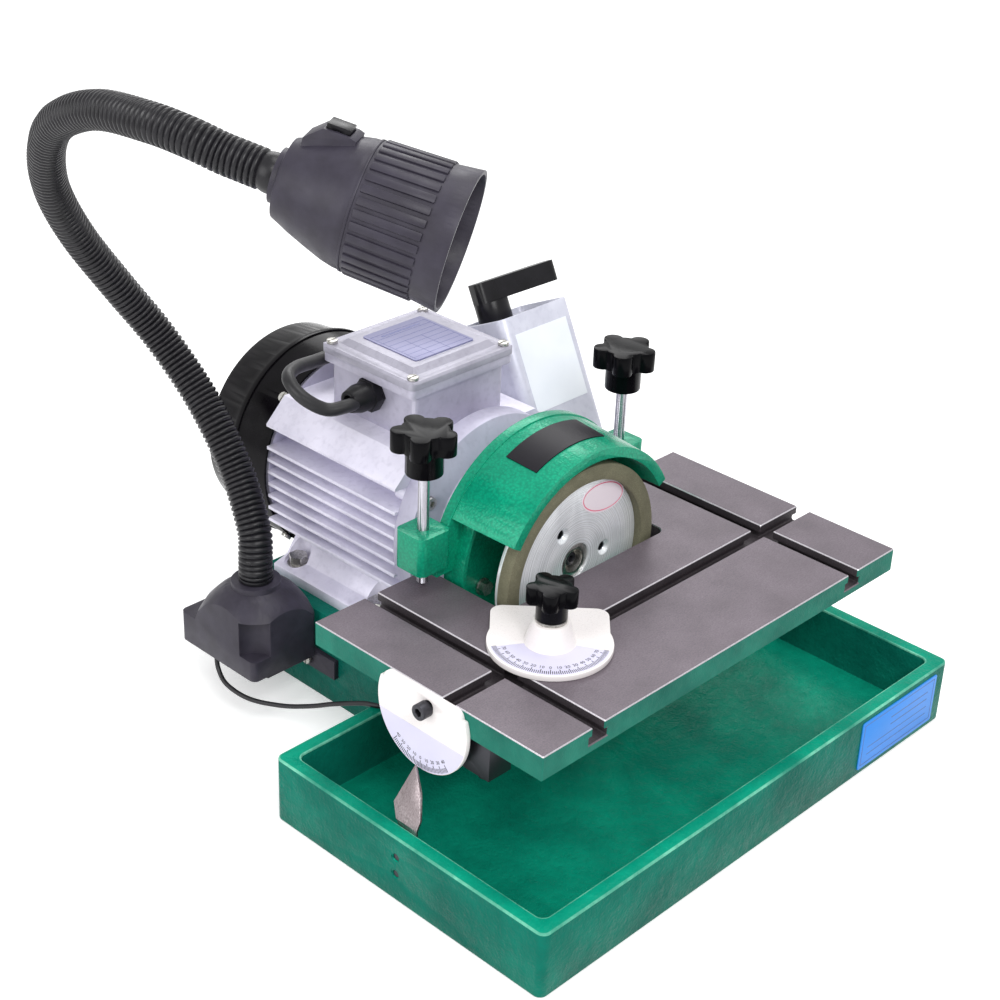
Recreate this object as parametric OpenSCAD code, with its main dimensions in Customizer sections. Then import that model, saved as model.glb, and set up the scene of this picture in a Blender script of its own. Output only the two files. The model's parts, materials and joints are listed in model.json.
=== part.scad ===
/* [Drip tray] */
// Outside width of the drip tray
tray_w = 438; // [424:1:460]
// Outside depth of the drip tray
tray_d = 246; // [238:1:256]
// Height of the drip tray
tray_h = 50; // [44:1:51]
// Thickness of the tray's walls
tray_wall = 11; // [8:0.5:13]
// Thickness of the tray's floor
tray_floor = 7; // [5:0.5:10]
// Radius of the tray's upright corners
tray_corner = 6; // [3:0.5:9]
// Width of the rating plate on the tray's front
plate_w = 94; // [70:1:100]
// Height of the rating plate
plate_h = 40; // [30:1:42]
// Thickness of the rating plate and of the other thin labels
label_t = 0.8; // [0.6:0.1:1.2]

/* [Pedestal] */
// Width of the motor pedestal
pedestal_w = 200; // [194:1:206]
// Height of the motor pedestal
pedestal_h = 72; // [70:1:78]
// Thickness of the pedestal's walls and top
pedestal_wall = 10; // [7:0.5:12]
// Thickness of each arm that carries the table's pivot
arm_t = 12; // [9:0.5:13]
// Diameter of the pivot shaft
pivot_d = 10; // [8:0.5:11]
// Distance from the pedestal's front to the pivot shaft
pivot_reach = 107; // [104:1:110]
// Depth of the pivot's axis below the table's underside
pivot_drop = 2; // [1.5:0.5:3]

/* [Table] */
// Width of the tilting table
table_w = 368; // [356:1:376]
// Depth of the tilting table
table_d = 205; // [198:1:208]
// Thickness of the tilting table
table_t = 18; // [17:0.5:20]
// Height of the spindle's axis above the table's top
spindle_rise = 1; // [0:0.5:3]
// Width of a T-slot's mouth
slot_w = 11; // [9.5:0.5:12]
// Depth of a T-slot's mouth, above its wider foot
slot_neck = 6.5; // [5.5:0.5:7]
// Width of a T-slot's foot
slot_foot_w = 17; // [15.5:0.5:18]
// Height of a T-slot's foot
slot_foot_h = 5.5; // [4.5:0.5:6]
// Distance from the table's front edge to the cross slot
cross_slot_y = 80; // [74:1:81]
// Distance from the table's middle to each end slot
end_slot_x = 134; // [126:1:140]
// Furthest tilt of the table, in degrees
tilt_max = 20; // [12:1:20]
// Radius of the tilt dial
dial_r = 40; // [34:0.5:42]
// Thickness of the tilt dial
dial_t = 3.6; // [2.5:0.1:4.5]

/* [Adjusting screws] */
// Diameter of each adjusting screw
screw_d = 8; // [6:0.5:9]
// Distance from the table's middle to each adjusting screw
screw_x = 99.5; // [97:0.5:103]
// Gap between a screw's tip and the table's top at rest
tip_gap = 0.3; // [0.1:0.1:0.5]
// Diameter of an adjusting knob over its lobes
knob_d = 46; // [38:1:46]
// Height of an adjusting knob's lobed head
knob_h = 15; // [12:1:18]
// Diameter of an adjusting knob's hub
knob_hub_d = 26; // [20:1:28]

/* [Fence] */
// Radius of the protractor's round end
fence_r = 41.5; // [36:0.5:42]
// Half the width of the protractor's straight sides
fence_half_w = 39.5; // [34:0.5:39.5]
// Distance from the stud to the protractor's flat edge
fence_reach = 42.5; // [38:0.5:42.5]
// Thickness of the protractor
fence_t = 4; // [3:0.5:6]
// Diameter of the fence's stud
stud_d = 8; // [6:0.5:8]
// Height of the protractor's collar, below the knob
fence_collar_h = 16; // [12:0.5:18]
// Distance from the table's left end to the stud at rest
stud_in = 92; // [84:1:100]
// Diameter of the fence's knob over its lobes
fence_knob_d = 35; // [30:1:38]

/* [Wheel and guard] */
// Diameter of the grinding wheel
wheel_d = 150; // [140:1:152]
// Width of the abrasive rim's flat face
rim_w = 12; // [9:0.5:14]
// Thickness of the abrasive rim
rim_t = 9.5; // [8:0.5:12]
// Thickness of the wheel's body behind the rim
wheel_body_t = 14.5; // [12:0.5:17]
// Distance from the pedestal's front to the wheel's face
wheel_overhang = 72; // [70:0.5:75]
// Gap between the wheel and the guard's hood
guard_gap = 6.5; // [5:0.5:7.5]
// Thickness of the guard's hood at its mouth
hood_t = 7.5; // [5:0.5:9]
// Thickness of the guard's back plate
guard_t = 8; // [6:0.5:9]
// Thickness of each guard ear, along the adjusting screw
ear_h = 28.5; // [24:0.5:31]

/* [Motor] */
// Height of the motor's shaft above its foot
shaft_height = 71; // [71:0.5:76]
// Outside radius of the motor's plain barrel
barrel_r = 62; // [60:0.5:64]
// Thickness of the barrel's wall
barrel_wall = 6; // [5:0.5:7]
// Length of the finned housing
housing_l = 138; // [132:1:144]
// Half the width over the cooling fins
fin_reach = 79; // [74:0.5:82]
// Distance from one cooling fin to the next
fin_pitch = 10; // [8.5:0.5:11.5]
// Thickness of a cooling fin
fin_t = 2.6; // [1.8:0.2:3.2]
// Radius of the fan cover
fan_cover_r = 82; // [78:0.5:83]
// Length of the fan cover
fan_cover_l = 74; // [68:1:80]
// Width of the terminal box's lid
lid_w = 102; // [92:1:108]
// Length of the terminal box's lid
lid_l = 96; // [88:1:102]

/* [Switch] */
// Width of the switch cover
switch_w = 75; // [70:1:80]
// Depth of the switch cover
switch_d = 56; // [52:1:60]
// Height of the switch cover
switch_h = 107; // [100:1:112]
// Backward lean of the switch, in degrees
switch_lean = 26; // [20:1:30]
// Length of the switch handle
handle_l = 74; // [60:1:80]

/* [Lamp] */
// Width of the lamp's base
lamp_base_w = 60; // [56:1:64]
// Length of the lamp's base
lamp_base_l = 84; // [78:1:90]
// Height of the lamp's base
lamp_base_h = 61.4; // [56:0.2:66]
// Diameter of the flexible neck
neck_d = 25; // [22:0.5:26]
// Length of the lamp's head
head_l = 115; // [108:1:120]
// Radius of the lamp head's mouth
head_r = 42.5; // [40:0.5:46]
// Thickness of the lamp head's shell
head_wall = 2.5; // [2:0.1:3.5]

/* [Hidden] */
$fn = 96;

// Clearances
screw_fit = 0.1;
lead_fit = 0.25;
running_fit = 0.05;
seat_gap = 0.3;
small = 0.01;

// Frame: the origin is the middle of the tray's underside
tray_front = -tray_d / 2;
tray_back = tray_d / 2;
spindle_z = pedestal_h + shaft_height;
table_top = spindle_z - spindle_rise;
table_bottom = table_top - table_t;
table_back = tray_back - 2;
table_front = table_back - table_d;
pivot_y = tray_back - pivot_reach;
pivot_z = table_bottom - pivot_drop;
slot_y = table_front + cross_slot_y;
slot_floor = table_top - slot_neck - slot_foot_h;

// Pedestal and what is bolted to it
motor_setback = 34;
motor_y = tray_back + motor_setback;
motor_end = motor_y + housing_l;
pedestal_back = motor_end - 1;
pedestal_d = pedestal_back - tray_back;
arm_inner = pedestal_w / 2 - arm_t;
arm_eye_r = pivot_d / 2 + 3.5;
arm_root_z = pedestal_h - 18;
tray_bolt_d = 8;
tray_bolt_z = tray_floor + (tray_h - tray_floor) / 2;
tray_bolt_x = [-60, 0, 60];
grommet_x = -74;
grommet_z = 58;
lead_d = 3.5;

// Pointer on the tray's left wall
pointer_t = 1.5;
pointer_w = 15;
pointer_x = -tray_w / 2 + tray_wall + pointer_t / 2;
pointer_y = pivot_y - 18.5;
pointer_tip_x = -table_w / 2 - dial_t - 3;
pointer_tip_z = pivot_z - 36;
pointer_screw_d = 5;
pointer_screw_z = [tray_h - 29.5, tray_h - 16];

// Wheel, guard and spindle, measured along Y
wheel_r = wheel_d / 2;
wheel_face = tray_back - wheel_overhang;
rim_back = wheel_face + rim_t;
wheel_back = rim_back + wheel_body_t;
hub_face = wheel_face + 7.5;
wheel_disc_t = 4;
wheel_hole_r = 29.5;
arbor_flange_t = 6;
arbor_flange_r = 40;
hub_ring_r = 13.5;
guard_back = tray_back - 16;
guard_front = guard_back - guard_t;
hood_in_r = wheel_r + guard_gap;
hood_out_r = hood_in_r + hood_t;
hood_flare = 4.5;
plate_bead = 0.8;
hood_mouth = wheel_face - 6;
hood_from = 28;
hood_to = 150;
lip_to = 205;
notch_half = wheel_r + 7;
notch_front = hood_mouth;
skirt_r = notch_half - 2.5;
ear_w = 28;
plate_step_z = table_top + 7;
ear_bottom = table_top + 15.5;
ear_top = ear_bottom + ear_h;
ear_back = guard_back + 14;
ear_d = 27;
screw_y = guard_back + 0.5;
tip_z = table_top + tip_gap;
// Travel that keeps the tips just clear of the table over the whole tilt
feed_per_degree = 1.57;
feed = feed_per_degree * tilt_max;
knob_hub_h = 17.5;
knob_bottom = ear_top + feed + 10.6;
knob_top = knob_bottom + knob_hub_h + knob_h;
guard_screw_d = 6;
guard_screw_r = 53;

// Fence
stud_x = table_w / 2 - stud_in;
fence_z = table_top + 0.1;
washer_t = 2;
washer_z = fence_z + fence_t + fence_collar_h + 0.1;
fence_hub_d = 21;
fence_hub_z = washer_z + washer_t + 0.2;
fence_hub_h = 12;
fence_star_h = 12;
fence_angle = 43.2;
collar_foot_r = 17;
collar_head_r = 12.4;

// Motor
shaft_nose_d = 14;
shaft_journal_d = 16;
shaft_body_d = 20;
shaft_tail_d = 13;
shield_boss_r = 60;
shield_r = 80;
shield_face = motor_y - 18;
barrel_in_r = barrel_r - barrel_wall;
stator_r = barrel_in_r - running_fit;
rotor_r = 34;
foot_l = 112;
foot_y = motor_y + 10;
foot_half = 88;
foot_t = 8;
foot_bolt_d = 8;
foot_bolt_x = 74;
foot_bolt_y = [foot_y + 12, foot_y + foot_l - 12];
fin_top = 25.5;
fin_low = -36;
shoulder_z = 45;
shield_screw_r = 73;
shield_screw_angles = [30, 150, 210, 330];
shield_screw_d = 5;
arbor_hub_r = 18;
arbor_end = motor_y - 40;
rear_shield_r = fan_cover_r - 4;
cover_wall = 1.6;
barrel_top = barrel_r + 0.6;
box_floor_z = spindle_z + barrel_top;
box_top = box_floor_z + 43;
box_l = lid_l - 8;
box_w = lid_w - 14;
box_y = motor_y + 13 + lid_l / 2;
lid_t = 6;
lid_panel_t = 4;
gland_y = box_y - 1;
gland_z = box_top - 18.6;
gland_nut_r = 12.8;
gland_mouth_x = box_w / 2 + 24;
cable_d = 10;
gland_l = 16;

// Switch
switch_x = 84;
switch_y = tray_back + 46;
switch_z = spindle_z + 10.6;
cover_t = 3;
cap_drop = 4;
cap_t = 4;
handle_x = 26;
handle_y = 34;
handle_shaft_d = 10;
handle_turn = -12;
switch_plate_t = 4;
side_plate_x = pedestal_w / 2;
side_bolt_y = [tray_back + 66, tray_back + 112];
side_bolt_z = 34;
side_bolt_d = 8;
switch_gland_l = 12;

// Lamp
bracket_t = 4;
bracket_y = tray_back + 70;
bracket_l = 101;
shelf_z = 36.6;
shelf_t = 3;
lamp_x = -pedestal_w / 2 - bracket_t - seat_gap - lamp_base_w / 2;
lamp_y = tray_back + 130;
lamp_z = shelf_z + shelf_t;
lamp_top = lamp_z + lamp_base_h;
dome_ahead = 10;
neck_y = lamp_y - dome_ahead;
bracket_screw_y = [tray_back + 99, tray_back + 150];
bracket_screw_z = 30.5;
bracket_low = 24;
ferrule_h = 3;
head_turn = [0, 104.4, -58.3];
ball_r = neck_d / 2 - 0.1;
ball_cut = 6;
rocker_pin_r = 38.5;
rocker_z = 32;

// Middle line of the flexible neck, from the base's collar: [across, back, up]
neck_route = [[0, 0, 3.3], [0, 0, 7], [0, 0, 11], [1, 1, 21], [4, 5, 34], [8, 17.6, 52.7], [11, 32, 71],
    [11.5, 52, 96.5], [10, 77, 123.5], [1, 104, 157], [-19, 121, 194], [-45, 127, 236], [-70, 115.5, 278],
    [-89, 89, 316], [-100, 56, 345], [-105, 7, 365], [-104, -42, 369.5], [-97, -72, 366], [-88, -91, 359.5]];
neck_end = [-75.2, -119.5, 352.3];
neck_run = unit(neck_end - neck_route[18]);
neck_turn = [0, acos(neck_run[2]), atan2(neck_run[1], neck_run[0])];
neck_points = concat(neck_route, [for (l = [16, 8, 0]) neck_end - neck_run * (ball_cut + l)]);
head_x = lamp_x + neck_end[0];
head_y = neck_y + neck_end[1];
head_z = lamp_top + neck_end[2];

// Outline of the lamp head's shell: [radius, distance along it]
head_shell = [[24, 8], [26, 13], [29, 20], [33, 31], [37, 43], [38.5, 50], [39, 57], [40.5, head_l - 16],
    [head_r, head_l]];

// Middle line of the lead from the terminal box to the switch, Y from the pedestal's front
switch_route = [[-86, 97, 229], [-98, 108, 238], [-97, 124, 246], [-80, 137, 245],
    [-43, 152, 236], [0, 158, 233], [40, 159, 230], [74, 156, 218], [98, 149, 190], [114, 140, 155],
    [121, 121, 120], [122, 97, 105], [121.7, 71, 108]];
// Middle line of the lamp's lead, from under the base to the pedestal's front
lamp_route = [[-161, 135, 39.6], [-162, 132, 30], [-164, 120, 23], [-160, 99, 19], [-150, 74, 21],
    [-144, 50, 30], [-140, 30, 40], [-134, 6, 50], [-129, -8, 52.5], [-114, -9, 51.9], [-98, -8, 51.9],
    [-84, -9, 53], [-76, -9, 56], [-74, -5, 58], [-74, 6, 58]];

// ---------------------------------------------------------------- shared shapes

module rounded_rect(w, d, r) {
    square([w - 2 * r, d], center = true);
    square([w, d - 2 * r], center = true);
    for (x = [-1, 1], y = [-1, 1])
        translate([x * (w / 2 - r), y * (d / 2 - r)]) circle(r = r);
}

module rounded_box(w, d, h, r) {
    linear_extrude(height = h) rounded_rect(w, d, r);
}

// Stands a shape on the spindle's axis, with its own Z running back along Y from the given place
module on_spindle(y) {
    translate([0, y, spindle_z]) rotate([-90, 0, 0]) children();
}

// Turns a shape's own Z to run along +X
module facing_right() {
    rotate([0, 90, 0]) children();
}

// A profile of [across, up] points pulled back along Y
module pulled_back(y, l) {
    translate([0, y + l, 0]) rotate([90, 0, 0]) linear_extrude(height = l) children();
}

// A profile of [back, up] points pulled along X
module pulled_right(x, l) {
    translate([x, 0, 0]) rotate([90, 0, 90]) linear_extrude(height = l) children();
}

// Socket-head screw: its head stands above Z 0 and its shank reaches below
module socket_screw(d, l, head_d, head_h) {
    difference() {
        union() {
            cylinder(d = head_d, h = head_h);
            translate([0, 0, -l]) cylinder(d = d, h = l + small);
        }
        translate([0, 0, head_h * 0.45]) cylinder(d = d * 0.9, h = head_h, $fn = 6);
    }
}

// Slotted screw with a flat round head
module slotted_screw(d, l, head_d, head_h) {
    difference() {
        union() {
            cylinder(d = head_d, h = head_h);
            translate([0, 0, -l]) cylinder(d = d, h = l + small);
        }
        translate([-head_d, -head_d * 0.07, head_h * 0.6]) cube([2 * head_d, head_d * 0.14, head_h]);
    }
}

// Hexagon bolt on a round washer
module hex_bolt(d, l, head_h) {
    cylinder(d = d * 2.1, h = 1.4);
    translate([0, 0, 1.4 - small]) cylinder(d = d * 1.85, h = head_h, $fn = 6);
    translate([0, 0, -l]) cylinder(d = d, h = l + small);
}

// Five-lobed star
module star(d, h) {
    lobe = d * 0.155;
    linear_extrude(height = h) {
        circle(r = d * 0.36);
        for (i = [0:4]) rotate(i * 72) star_lobe(d, lobe);
    }
}

module star_lobe(d, lobe) {
    translate([d / 2 - lobe, 0]) circle(r = lobe);
    translate([0, -lobe]) square([d / 2 - lobe, 2 * lobe]);
}

function unit(v) = v / norm(v);
function spline_at(p, i, t) = let (n = len(p) - 1,
    a = p[max(i - 1, 0)], b = p[i], c = p[i + 1], d = p[min(i + 2, n)])
    0.5 * (2 * b + (c - a) * t + (2 * a - 5 * b + 4 * c - d) * t * t + (3 * b - a - 3 * c + d) * t * t * t);
function spline(p, per) = concat([for (i = [0:len(p) - 2]) for (k = [0:per - 1]) spline_at(p, i, k / per)],
    [p[len(p) - 1]]);
function tangent(q, i) = unit(q[min(i + 1, len(q) - 1)] - q[max(i - 1, 0)]);
function carried(n, t) = unit(n - t * (n * t));
function normals(q, i, n) = i >= len(q) ? [] : let (m = carried(n, tangent(q, i)))
    concat([m], normals(q, i + 1, m));

// Round tube swept along a smooth line through the given points
module swept_tube(points, r, sides, per, start) {
    q = spline(points, per);
    n = normals(q, 0, carried(start, tangent(q, 0)));
    rings = len(q);
    verts = [for (i = [0:rings - 1]) let (t = tangent(q, i), b = cross(t, n[i]))
        for (k = [0:sides - 1]) q[i] + r * (cos(360 * k / sides) * n[i] + sin(360 * k / sides) * b)];
    walls = [for (i = [0:rings - 2]) for (k = [0:sides - 1]) for (t = [0, 1])
        [i * sides + (t == 0 ? k : (k + 1) % sides), (i + t) * sides + (k + 1) % sides,
            (i + 1) * sides + k]];
    ends = [[for (k = [0:sides - 1]) sides - 1 - k], [for (k = [0:sides - 1]) (rings - 1) * sides + k]];
    polyhedron(points = verts, faces = [for (f = concat(walls, ends)) [for (j = [len(f) - 1:-1:0]) f[j]]]);
}

// ---------------------------------------------------------------- tray, plate and pointer

module tray_bolts_at() {
    for (x = tray_bolt_x) translate([x, tray_back - tray_wall, tray_bolt_z]) rotate([90, 0, 0]) children();
}

module drip_tray() {
    color("seagreen") difference() {
        rounded_box(tray_w, tray_d, tray_h, tray_corner);
        translate([0, 0, tray_floor])
            rounded_box(tray_w - 2 * tray_wall, tray_d - 2 * tray_wall, tray_h, tray_corner);
        tray_bolts_at() translate([0, 0, -tray_wall - 1])
            cylinder(d = tray_bolt_d + 2 * screw_fit, h = tray_wall + 2);
        for (z = pointer_screw_z) translate([-tray_w / 2 - 1, pointer_y + pointer_w / 2, z]) facing_right()
            cylinder(d = pointer_screw_d + 2 * screw_fit, h = tray_wall + 2);
    }
}

module rating_plate() {
    color("steelblue") translate([tray_w / 2 - 15 - plate_w / 2, tray_front, tray_h / 2])
        rotate([90, 0, 0]) rounded_box(plate_w, plate_h, label_t, 2);
}

module pedestal_bolts() {
    color("dimgray") tray_bolts_at() socket_screw(tray_bolt_d, tray_wall + pedestal_wall, 13, tray_bolt_d);
}

module pointer_outline() {
    polygon([[pointer_y, pointer_screw_z[0] - 7], [pointer_y + pointer_w, pointer_screw_z[0] - 7],
        [pointer_y + pointer_w, tray_h - 2], [pivot_y + 7, pivot_z - 61], [pivot_y + 1, pointer_tip_z],
        [pivot_y - 11, pivot_z - 49], [pointer_y, tray_h + 9]]);
}

module pointer_side() {
    bend = tray_h + 2;
    polygon([[pointer_x - pointer_t / 2, 0], [pointer_x + pointer_t / 2, 0],
        [pointer_x + pointer_t / 2, bend], [pointer_tip_x + pointer_t, pointer_tip_z + 1],
        [pointer_tip_x - 0.2, pointer_tip_z + 1], [pointer_x - pointer_t / 2, bend + 1]]);
}

module pointer() {
    color("silver") difference() {
        intersection() {
            pulled_right(-tray_w / 2, tray_w / 2) pointer_outline();
            pulled_back(pointer_y - 20, 80) pointer_side();
        }
        for (z = pointer_screw_z) translate([-tray_w / 2, pointer_y + pointer_w / 2, z]) facing_right()
            cylinder(d = pointer_screw_d + 2 * screw_fit, h = tray_wall + 10);
    }
}

module pointer_screws() {
    color("dimgray") for (z = pointer_screw_z)
        translate([pointer_x + pointer_t / 2, pointer_y + pointer_w / 2, z]) facing_right()
            socket_screw(pointer_screw_d, tray_wall + pointer_t - 1, 9, pointer_screw_d);
}

// ---------------------------------------------------------------- pedestal

module arm_outline() {
    difference() {
        union() {
            translate([pivot_y, pivot_z]) circle(r = arm_eye_r);
            polygon([[pivot_y - arm_eye_r + 0.5, pivot_z - 2], [pivot_y + arm_eye_r, pivot_z],
                [pivot_y + 11, pivot_z - 10], [tray_back + 1, pedestal_h], [tray_back + 1, arm_root_z],
                [tray_back - 11, arm_root_z]]);
        }
        translate([pivot_y, pivot_z]) circle(d = pivot_d + 2 * running_fit);
    }
}

module foot_bolts_at(z) {
    for (x = [-foot_bolt_x, foot_bolt_x], y = foot_bolt_y) translate([x, y, z]) children();
}

module side_bolts_at() {
    for (y = side_bolt_y) translate([side_plate_x + switch_plate_t, y, side_bolt_z]) facing_right() children();
}

module bracket_screws_at() {
    for (y = bracket_screw_y) translate([-pedestal_w / 2 - bracket_t, y, bracket_screw_z])
        rotate([0, -90, 0]) children();
}

module motor_pedestal() {
    color("seagreen") difference() {
        union() {
            translate([0, tray_back + pedestal_d / 2, 0]) rounded_box(pedestal_w, pedestal_d, pedestal_h, 3);
            for (x = [-pedestal_w / 2, arm_inner]) pulled_right(x, arm_t) arm_outline();
        }
        translate([0, tray_back + pedestal_d / 2, -1]) rounded_box(pedestal_w - 2 * pedestal_wall,
            pedestal_d - 2 * pedestal_wall, pedestal_h - pedestal_wall + 1, 4);
        tray_bolts_at() translate([0, 0, -tray_wall - pedestal_wall - 1])
            cylinder(d = tray_bolt_d + 2 * screw_fit, h = pedestal_wall + 2);
        foot_bolts_at(pedestal_h - pedestal_wall - 1)
            cylinder(d = foot_bolt_d + 2 * screw_fit, h = pedestal_wall + 2);
        side_bolts_at() translate([0, 0, -switch_plate_t - pedestal_wall - 1])
            cylinder(d = side_bolt_d + 2 * screw_fit, h = pedestal_wall + 2);
        bracket_screws_at() translate([0, 0, -bracket_t - pedestal_wall - 1])
            cylinder(d = 5 + 2 * screw_fit, h = pedestal_wall + 2);
        translate([grommet_x, tray_back - 1, grommet_z]) rotate([-90, 0, 0])
            cylinder(d = lead_d + 2 * screw_fit, h = pedestal_wall + 2);
    }
}

// ---------------------------------------------------------------- motor

module motor_foot() {
    top = spindle_z + fin_low - fin_t / 2 - seat_gap;
    color("silver") difference() {
        pulled_back(foot_y, foot_l) polygon([[-foot_half, pedestal_h], [foot_half, pedestal_h],
            [foot_half, pedestal_h + foot_t], [75, pedestal_h + foot_t + 4], [60, top],
            [-60, top], [-75, pedestal_h + foot_t + 4], [-foot_half, pedestal_h + foot_t]]);
        on_spindle(foot_y - 1) cylinder(r = barrel_r + running_fit, h = foot_l + 2);
        foot_bolts_at(pedestal_h - 1) cylinder(d = foot_bolt_d + 2 * screw_fit, h = foot_t + 2);
        foot_bolts_at(pedestal_h + foot_t) cylinder(r = foot_bolt_d * 1.3, h = 60);
    }
}

module motor_foot_bolts() {
    color("silver") foot_bolts_at(pedestal_h + foot_t) hex_bolt(foot_bolt_d, foot_t + pedestal_wall, 6);
}

module shield_screws_at(y) {
    for (a = shield_screw_angles)
        translate([shield_screw_r * cos(a), y, spindle_z + shield_screw_r * sin(a)]) rotate([90, 0, 0]) children();
}

module fin_bars() {
    for (z = [fin_top:-fin_pitch:fin_low])
        translate([-fin_reach, z - fin_t / 2]) square([2 * fin_reach, fin_t]);
}

module shield_lug() {
    lug_r = 7;
    lug_l = 9.7;
    translate([shield_screw_r, 0, 0]) cylinder(r = lug_r, h = lug_l);
    translate([shield_screw_r - 17, 0.5 - lug_r, 0]) cube([17, 2 * lug_r - 1, lug_l]);
}

module motor_housing() {
    color("gainsboro") difference() {
        union() {
            pulled_back(motor_y, housing_l) translate([0, spindle_z]) {
                circle(r = barrel_r);
                fin_bars();
                polygon([[0, 20], [barrel_r - 6, shoulder_z - 2], [fin_reach, shoulder_z - 2],
                    [fin_reach, shoulder_z], [fin_reach - (barrel_top - shoulder_z), barrel_top],
                    [barrel_top - shoulder_z - fin_reach, barrel_top], [-fin_reach, shoulder_z],
                    [-fin_reach, shoulder_z - 2], [6 - barrel_r, shoulder_z - 2]]);
            }
            for (a = shield_screw_angles) on_spindle(motor_y) rotate(a) shield_lug();
        }
        on_spindle(motor_y - 1) cylinder(r = barrel_in_r, h = housing_l + 2);
        shield_screws_at(motor_y + 9) cylinder(d = shield_screw_d + 2 * screw_fit, h = 10);
    }
}

module front_end_shield() {
    color("silver") difference() {
        on_spindle(0) rotate_extrude() polygon([[arbor_hub_r + 1, guard_back], [shield_boss_r, guard_back],
            [shield_boss_r, shield_face - 4], [shield_r, shield_face + 2], [shield_r, motor_y],
            [barrel_in_r - running_fit, motor_y], [barrel_in_r - running_fit, motor_y + 4],
            [50, motor_y + 4], [50, motor_y - 12], [24, motor_y - 18], [17.5, motor_y - 22],
            [17.5, motor_y - 36], [12.5, motor_y - 36], [12.5, arbor_end + 1],
            [arbor_hub_r + 1, arbor_end + 1]]);
        translate([-200, tray_back - 50, pedestal_h + 1 - 200]) cube([400, 200, 200]);
        shield_screws_at(motor_y + 1) cylinder(d = shield_screw_d + 2 * screw_fit, h = 30);
        shield_screws_at(shield_face + 2) cylinder(d = 9 + 2 * screw_fit, h = 30);
        guard_screws_at(guard_back + 14) cylinder(d = guard_screw_d + 2 * screw_fit, h = 15);
    }
}

module front_shield_screws() {
    color("dimgray") shield_screws_at(shield_face + 2) socket_screw(shield_screw_d, 24, 9, shield_screw_d);
}

module rear_end_shield() {
    color("silver") on_spindle(0) rotate_extrude() polygon([[8.5, motor_end + 22], [30, motor_end + 22],
        [30, motor_end + 10], [rear_shield_r, motor_end + 8], [rear_shield_r, motor_end],
        [barrel_in_r - running_fit, motor_end], [barrel_in_r - running_fit, motor_end - 4],
        [50, motor_end - 4], [50, motor_end + 2], [24, motor_end + 4], [16, motor_end + 6],
        [16, motor_end + 19], [8.5, motor_end + 19]]);
}

module stator() {
    color("sienna") on_spindle(0) difference() {
        union() {
            translate([0, 0, motor_y + 20]) cylinder(r = stator_r, h = housing_l - 40);
            translate([0, 0, motor_y + 7]) cylinder(r = 49, h = housing_l - 14);
        }
        translate([0, 0, motor_y]) cylinder(r = rotor_r + 1, h = housing_l);
        translate([0, 0, motor_y]) cylinder(r = 39, h = 20);
        translate([0, 0, motor_end - 20]) cylinder(r = 39, h = 20);
    }
}

module bearing(r, y, l) {
    color("lightgray") on_spindle(y) difference() {
        cylinder(r = r, h = l);
        translate([0, 0, -1]) cylinder(d = shaft_journal_d + 2 * running_fit, h = l + 2);
    }
}

module bearings() {
    bearing(17.5, motor_y - 36, 14);
    bearing(16, motor_end + 6, 13);
}

module cover_screws_at() {
    for (a = [45:90:315]) translate([0, motor_end + 4, spindle_z]) rotate([0, a, 0])
        translate([0, 0, fan_cover_r]) children();
}

module fan_cover() {
    ridge = motor_end + fan_cover_l / 2;
    color("black") difference() {
        on_spindle(0) rotate_extrude() polygon([[fan_cover_r, motor_end], [fan_cover_r, ridge - 3],
            [fan_cover_r + 1.5, ridge - 3], [fan_cover_r + 1.5, ridge + 1], [fan_cover_r - 1, ridge + 1],
            [fan_cover_r - 4, motor_end + fan_cover_l - 4], [fan_cover_r - 8, motor_end + fan_cover_l],
            [0, motor_end + fan_cover_l], [0, motor_end + fan_cover_l - cover_wall],
            [fan_cover_r - 8, motor_end + fan_cover_l - cover_wall],
            [fan_cover_r - 4 - cover_wall, motor_end + fan_cover_l - 5],
            [fan_cover_r - cover_wall, ridge - 3], [fan_cover_r - cover_wall, motor_end]]);
        on_spindle(motor_end + fan_cover_l - 3) difference() {
            for (r = [18, 29, 40, 51, 62]) difference() {
                cylinder(r = r + 6, h = 6);
                translate([0, 0, -1]) cylinder(r = r, h = 8);
            }
            for (a = [0, 60, 120]) rotate(a) translate([-100, -2.5, -1]) cube([200, 5, 8]);
        }
        cover_screws_at() translate([0, 0, -6]) cylinder(d = 4 + 2 * screw_fit, h = 12);
    }
}

module fan_cover_screws() {
    color("silver") cover_screws_at() slotted_screw(4, fan_cover_r - rear_shield_r, 8, 2.4);
}

module lid_screws_at(z) {
    for (x = [-1, 1], y = [-1, 1]) translate([x * (lid_w / 2 - 6), box_y + y * (lid_l / 2 - 6), z]) children();
}

module terminal_box() {
    color("silver") difference() {
        union() {
            translate([0, box_y, box_floor_z]) rounded_box(box_w, box_l, box_top - box_floor_z, 4);
            translate([0, box_y, box_top - 7]) rounded_box(lid_w - 2, lid_l - 2, 7, 4);
        }
        translate([0, box_y, box_floor_z + 3]) rounded_box(box_w - 7, box_l - 7, 60, 3);
        translate([-box_w, gland_y, gland_z]) facing_right() cylinder(d = 16, h = box_w);
        lid_screws_at(box_top - 8) cylinder(d = 4 + 2 * screw_fit, h = 10);
    }
}

module lid_bevel(span, rise) {
    polygon([[-span / 2, 0], [span / 2, 0], [span / 2, lid_t - 1.5], [span / 2 - 1.5, lid_t],
        [span / 2 - 10, lid_t], [span / 2 - 14, lid_t + rise], [14 - span / 2, lid_t + rise],
        [10 - span / 2, lid_t], [1.5 - span / 2, lid_t], [-span / 2, lid_t - 1.5]]);
}

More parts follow.
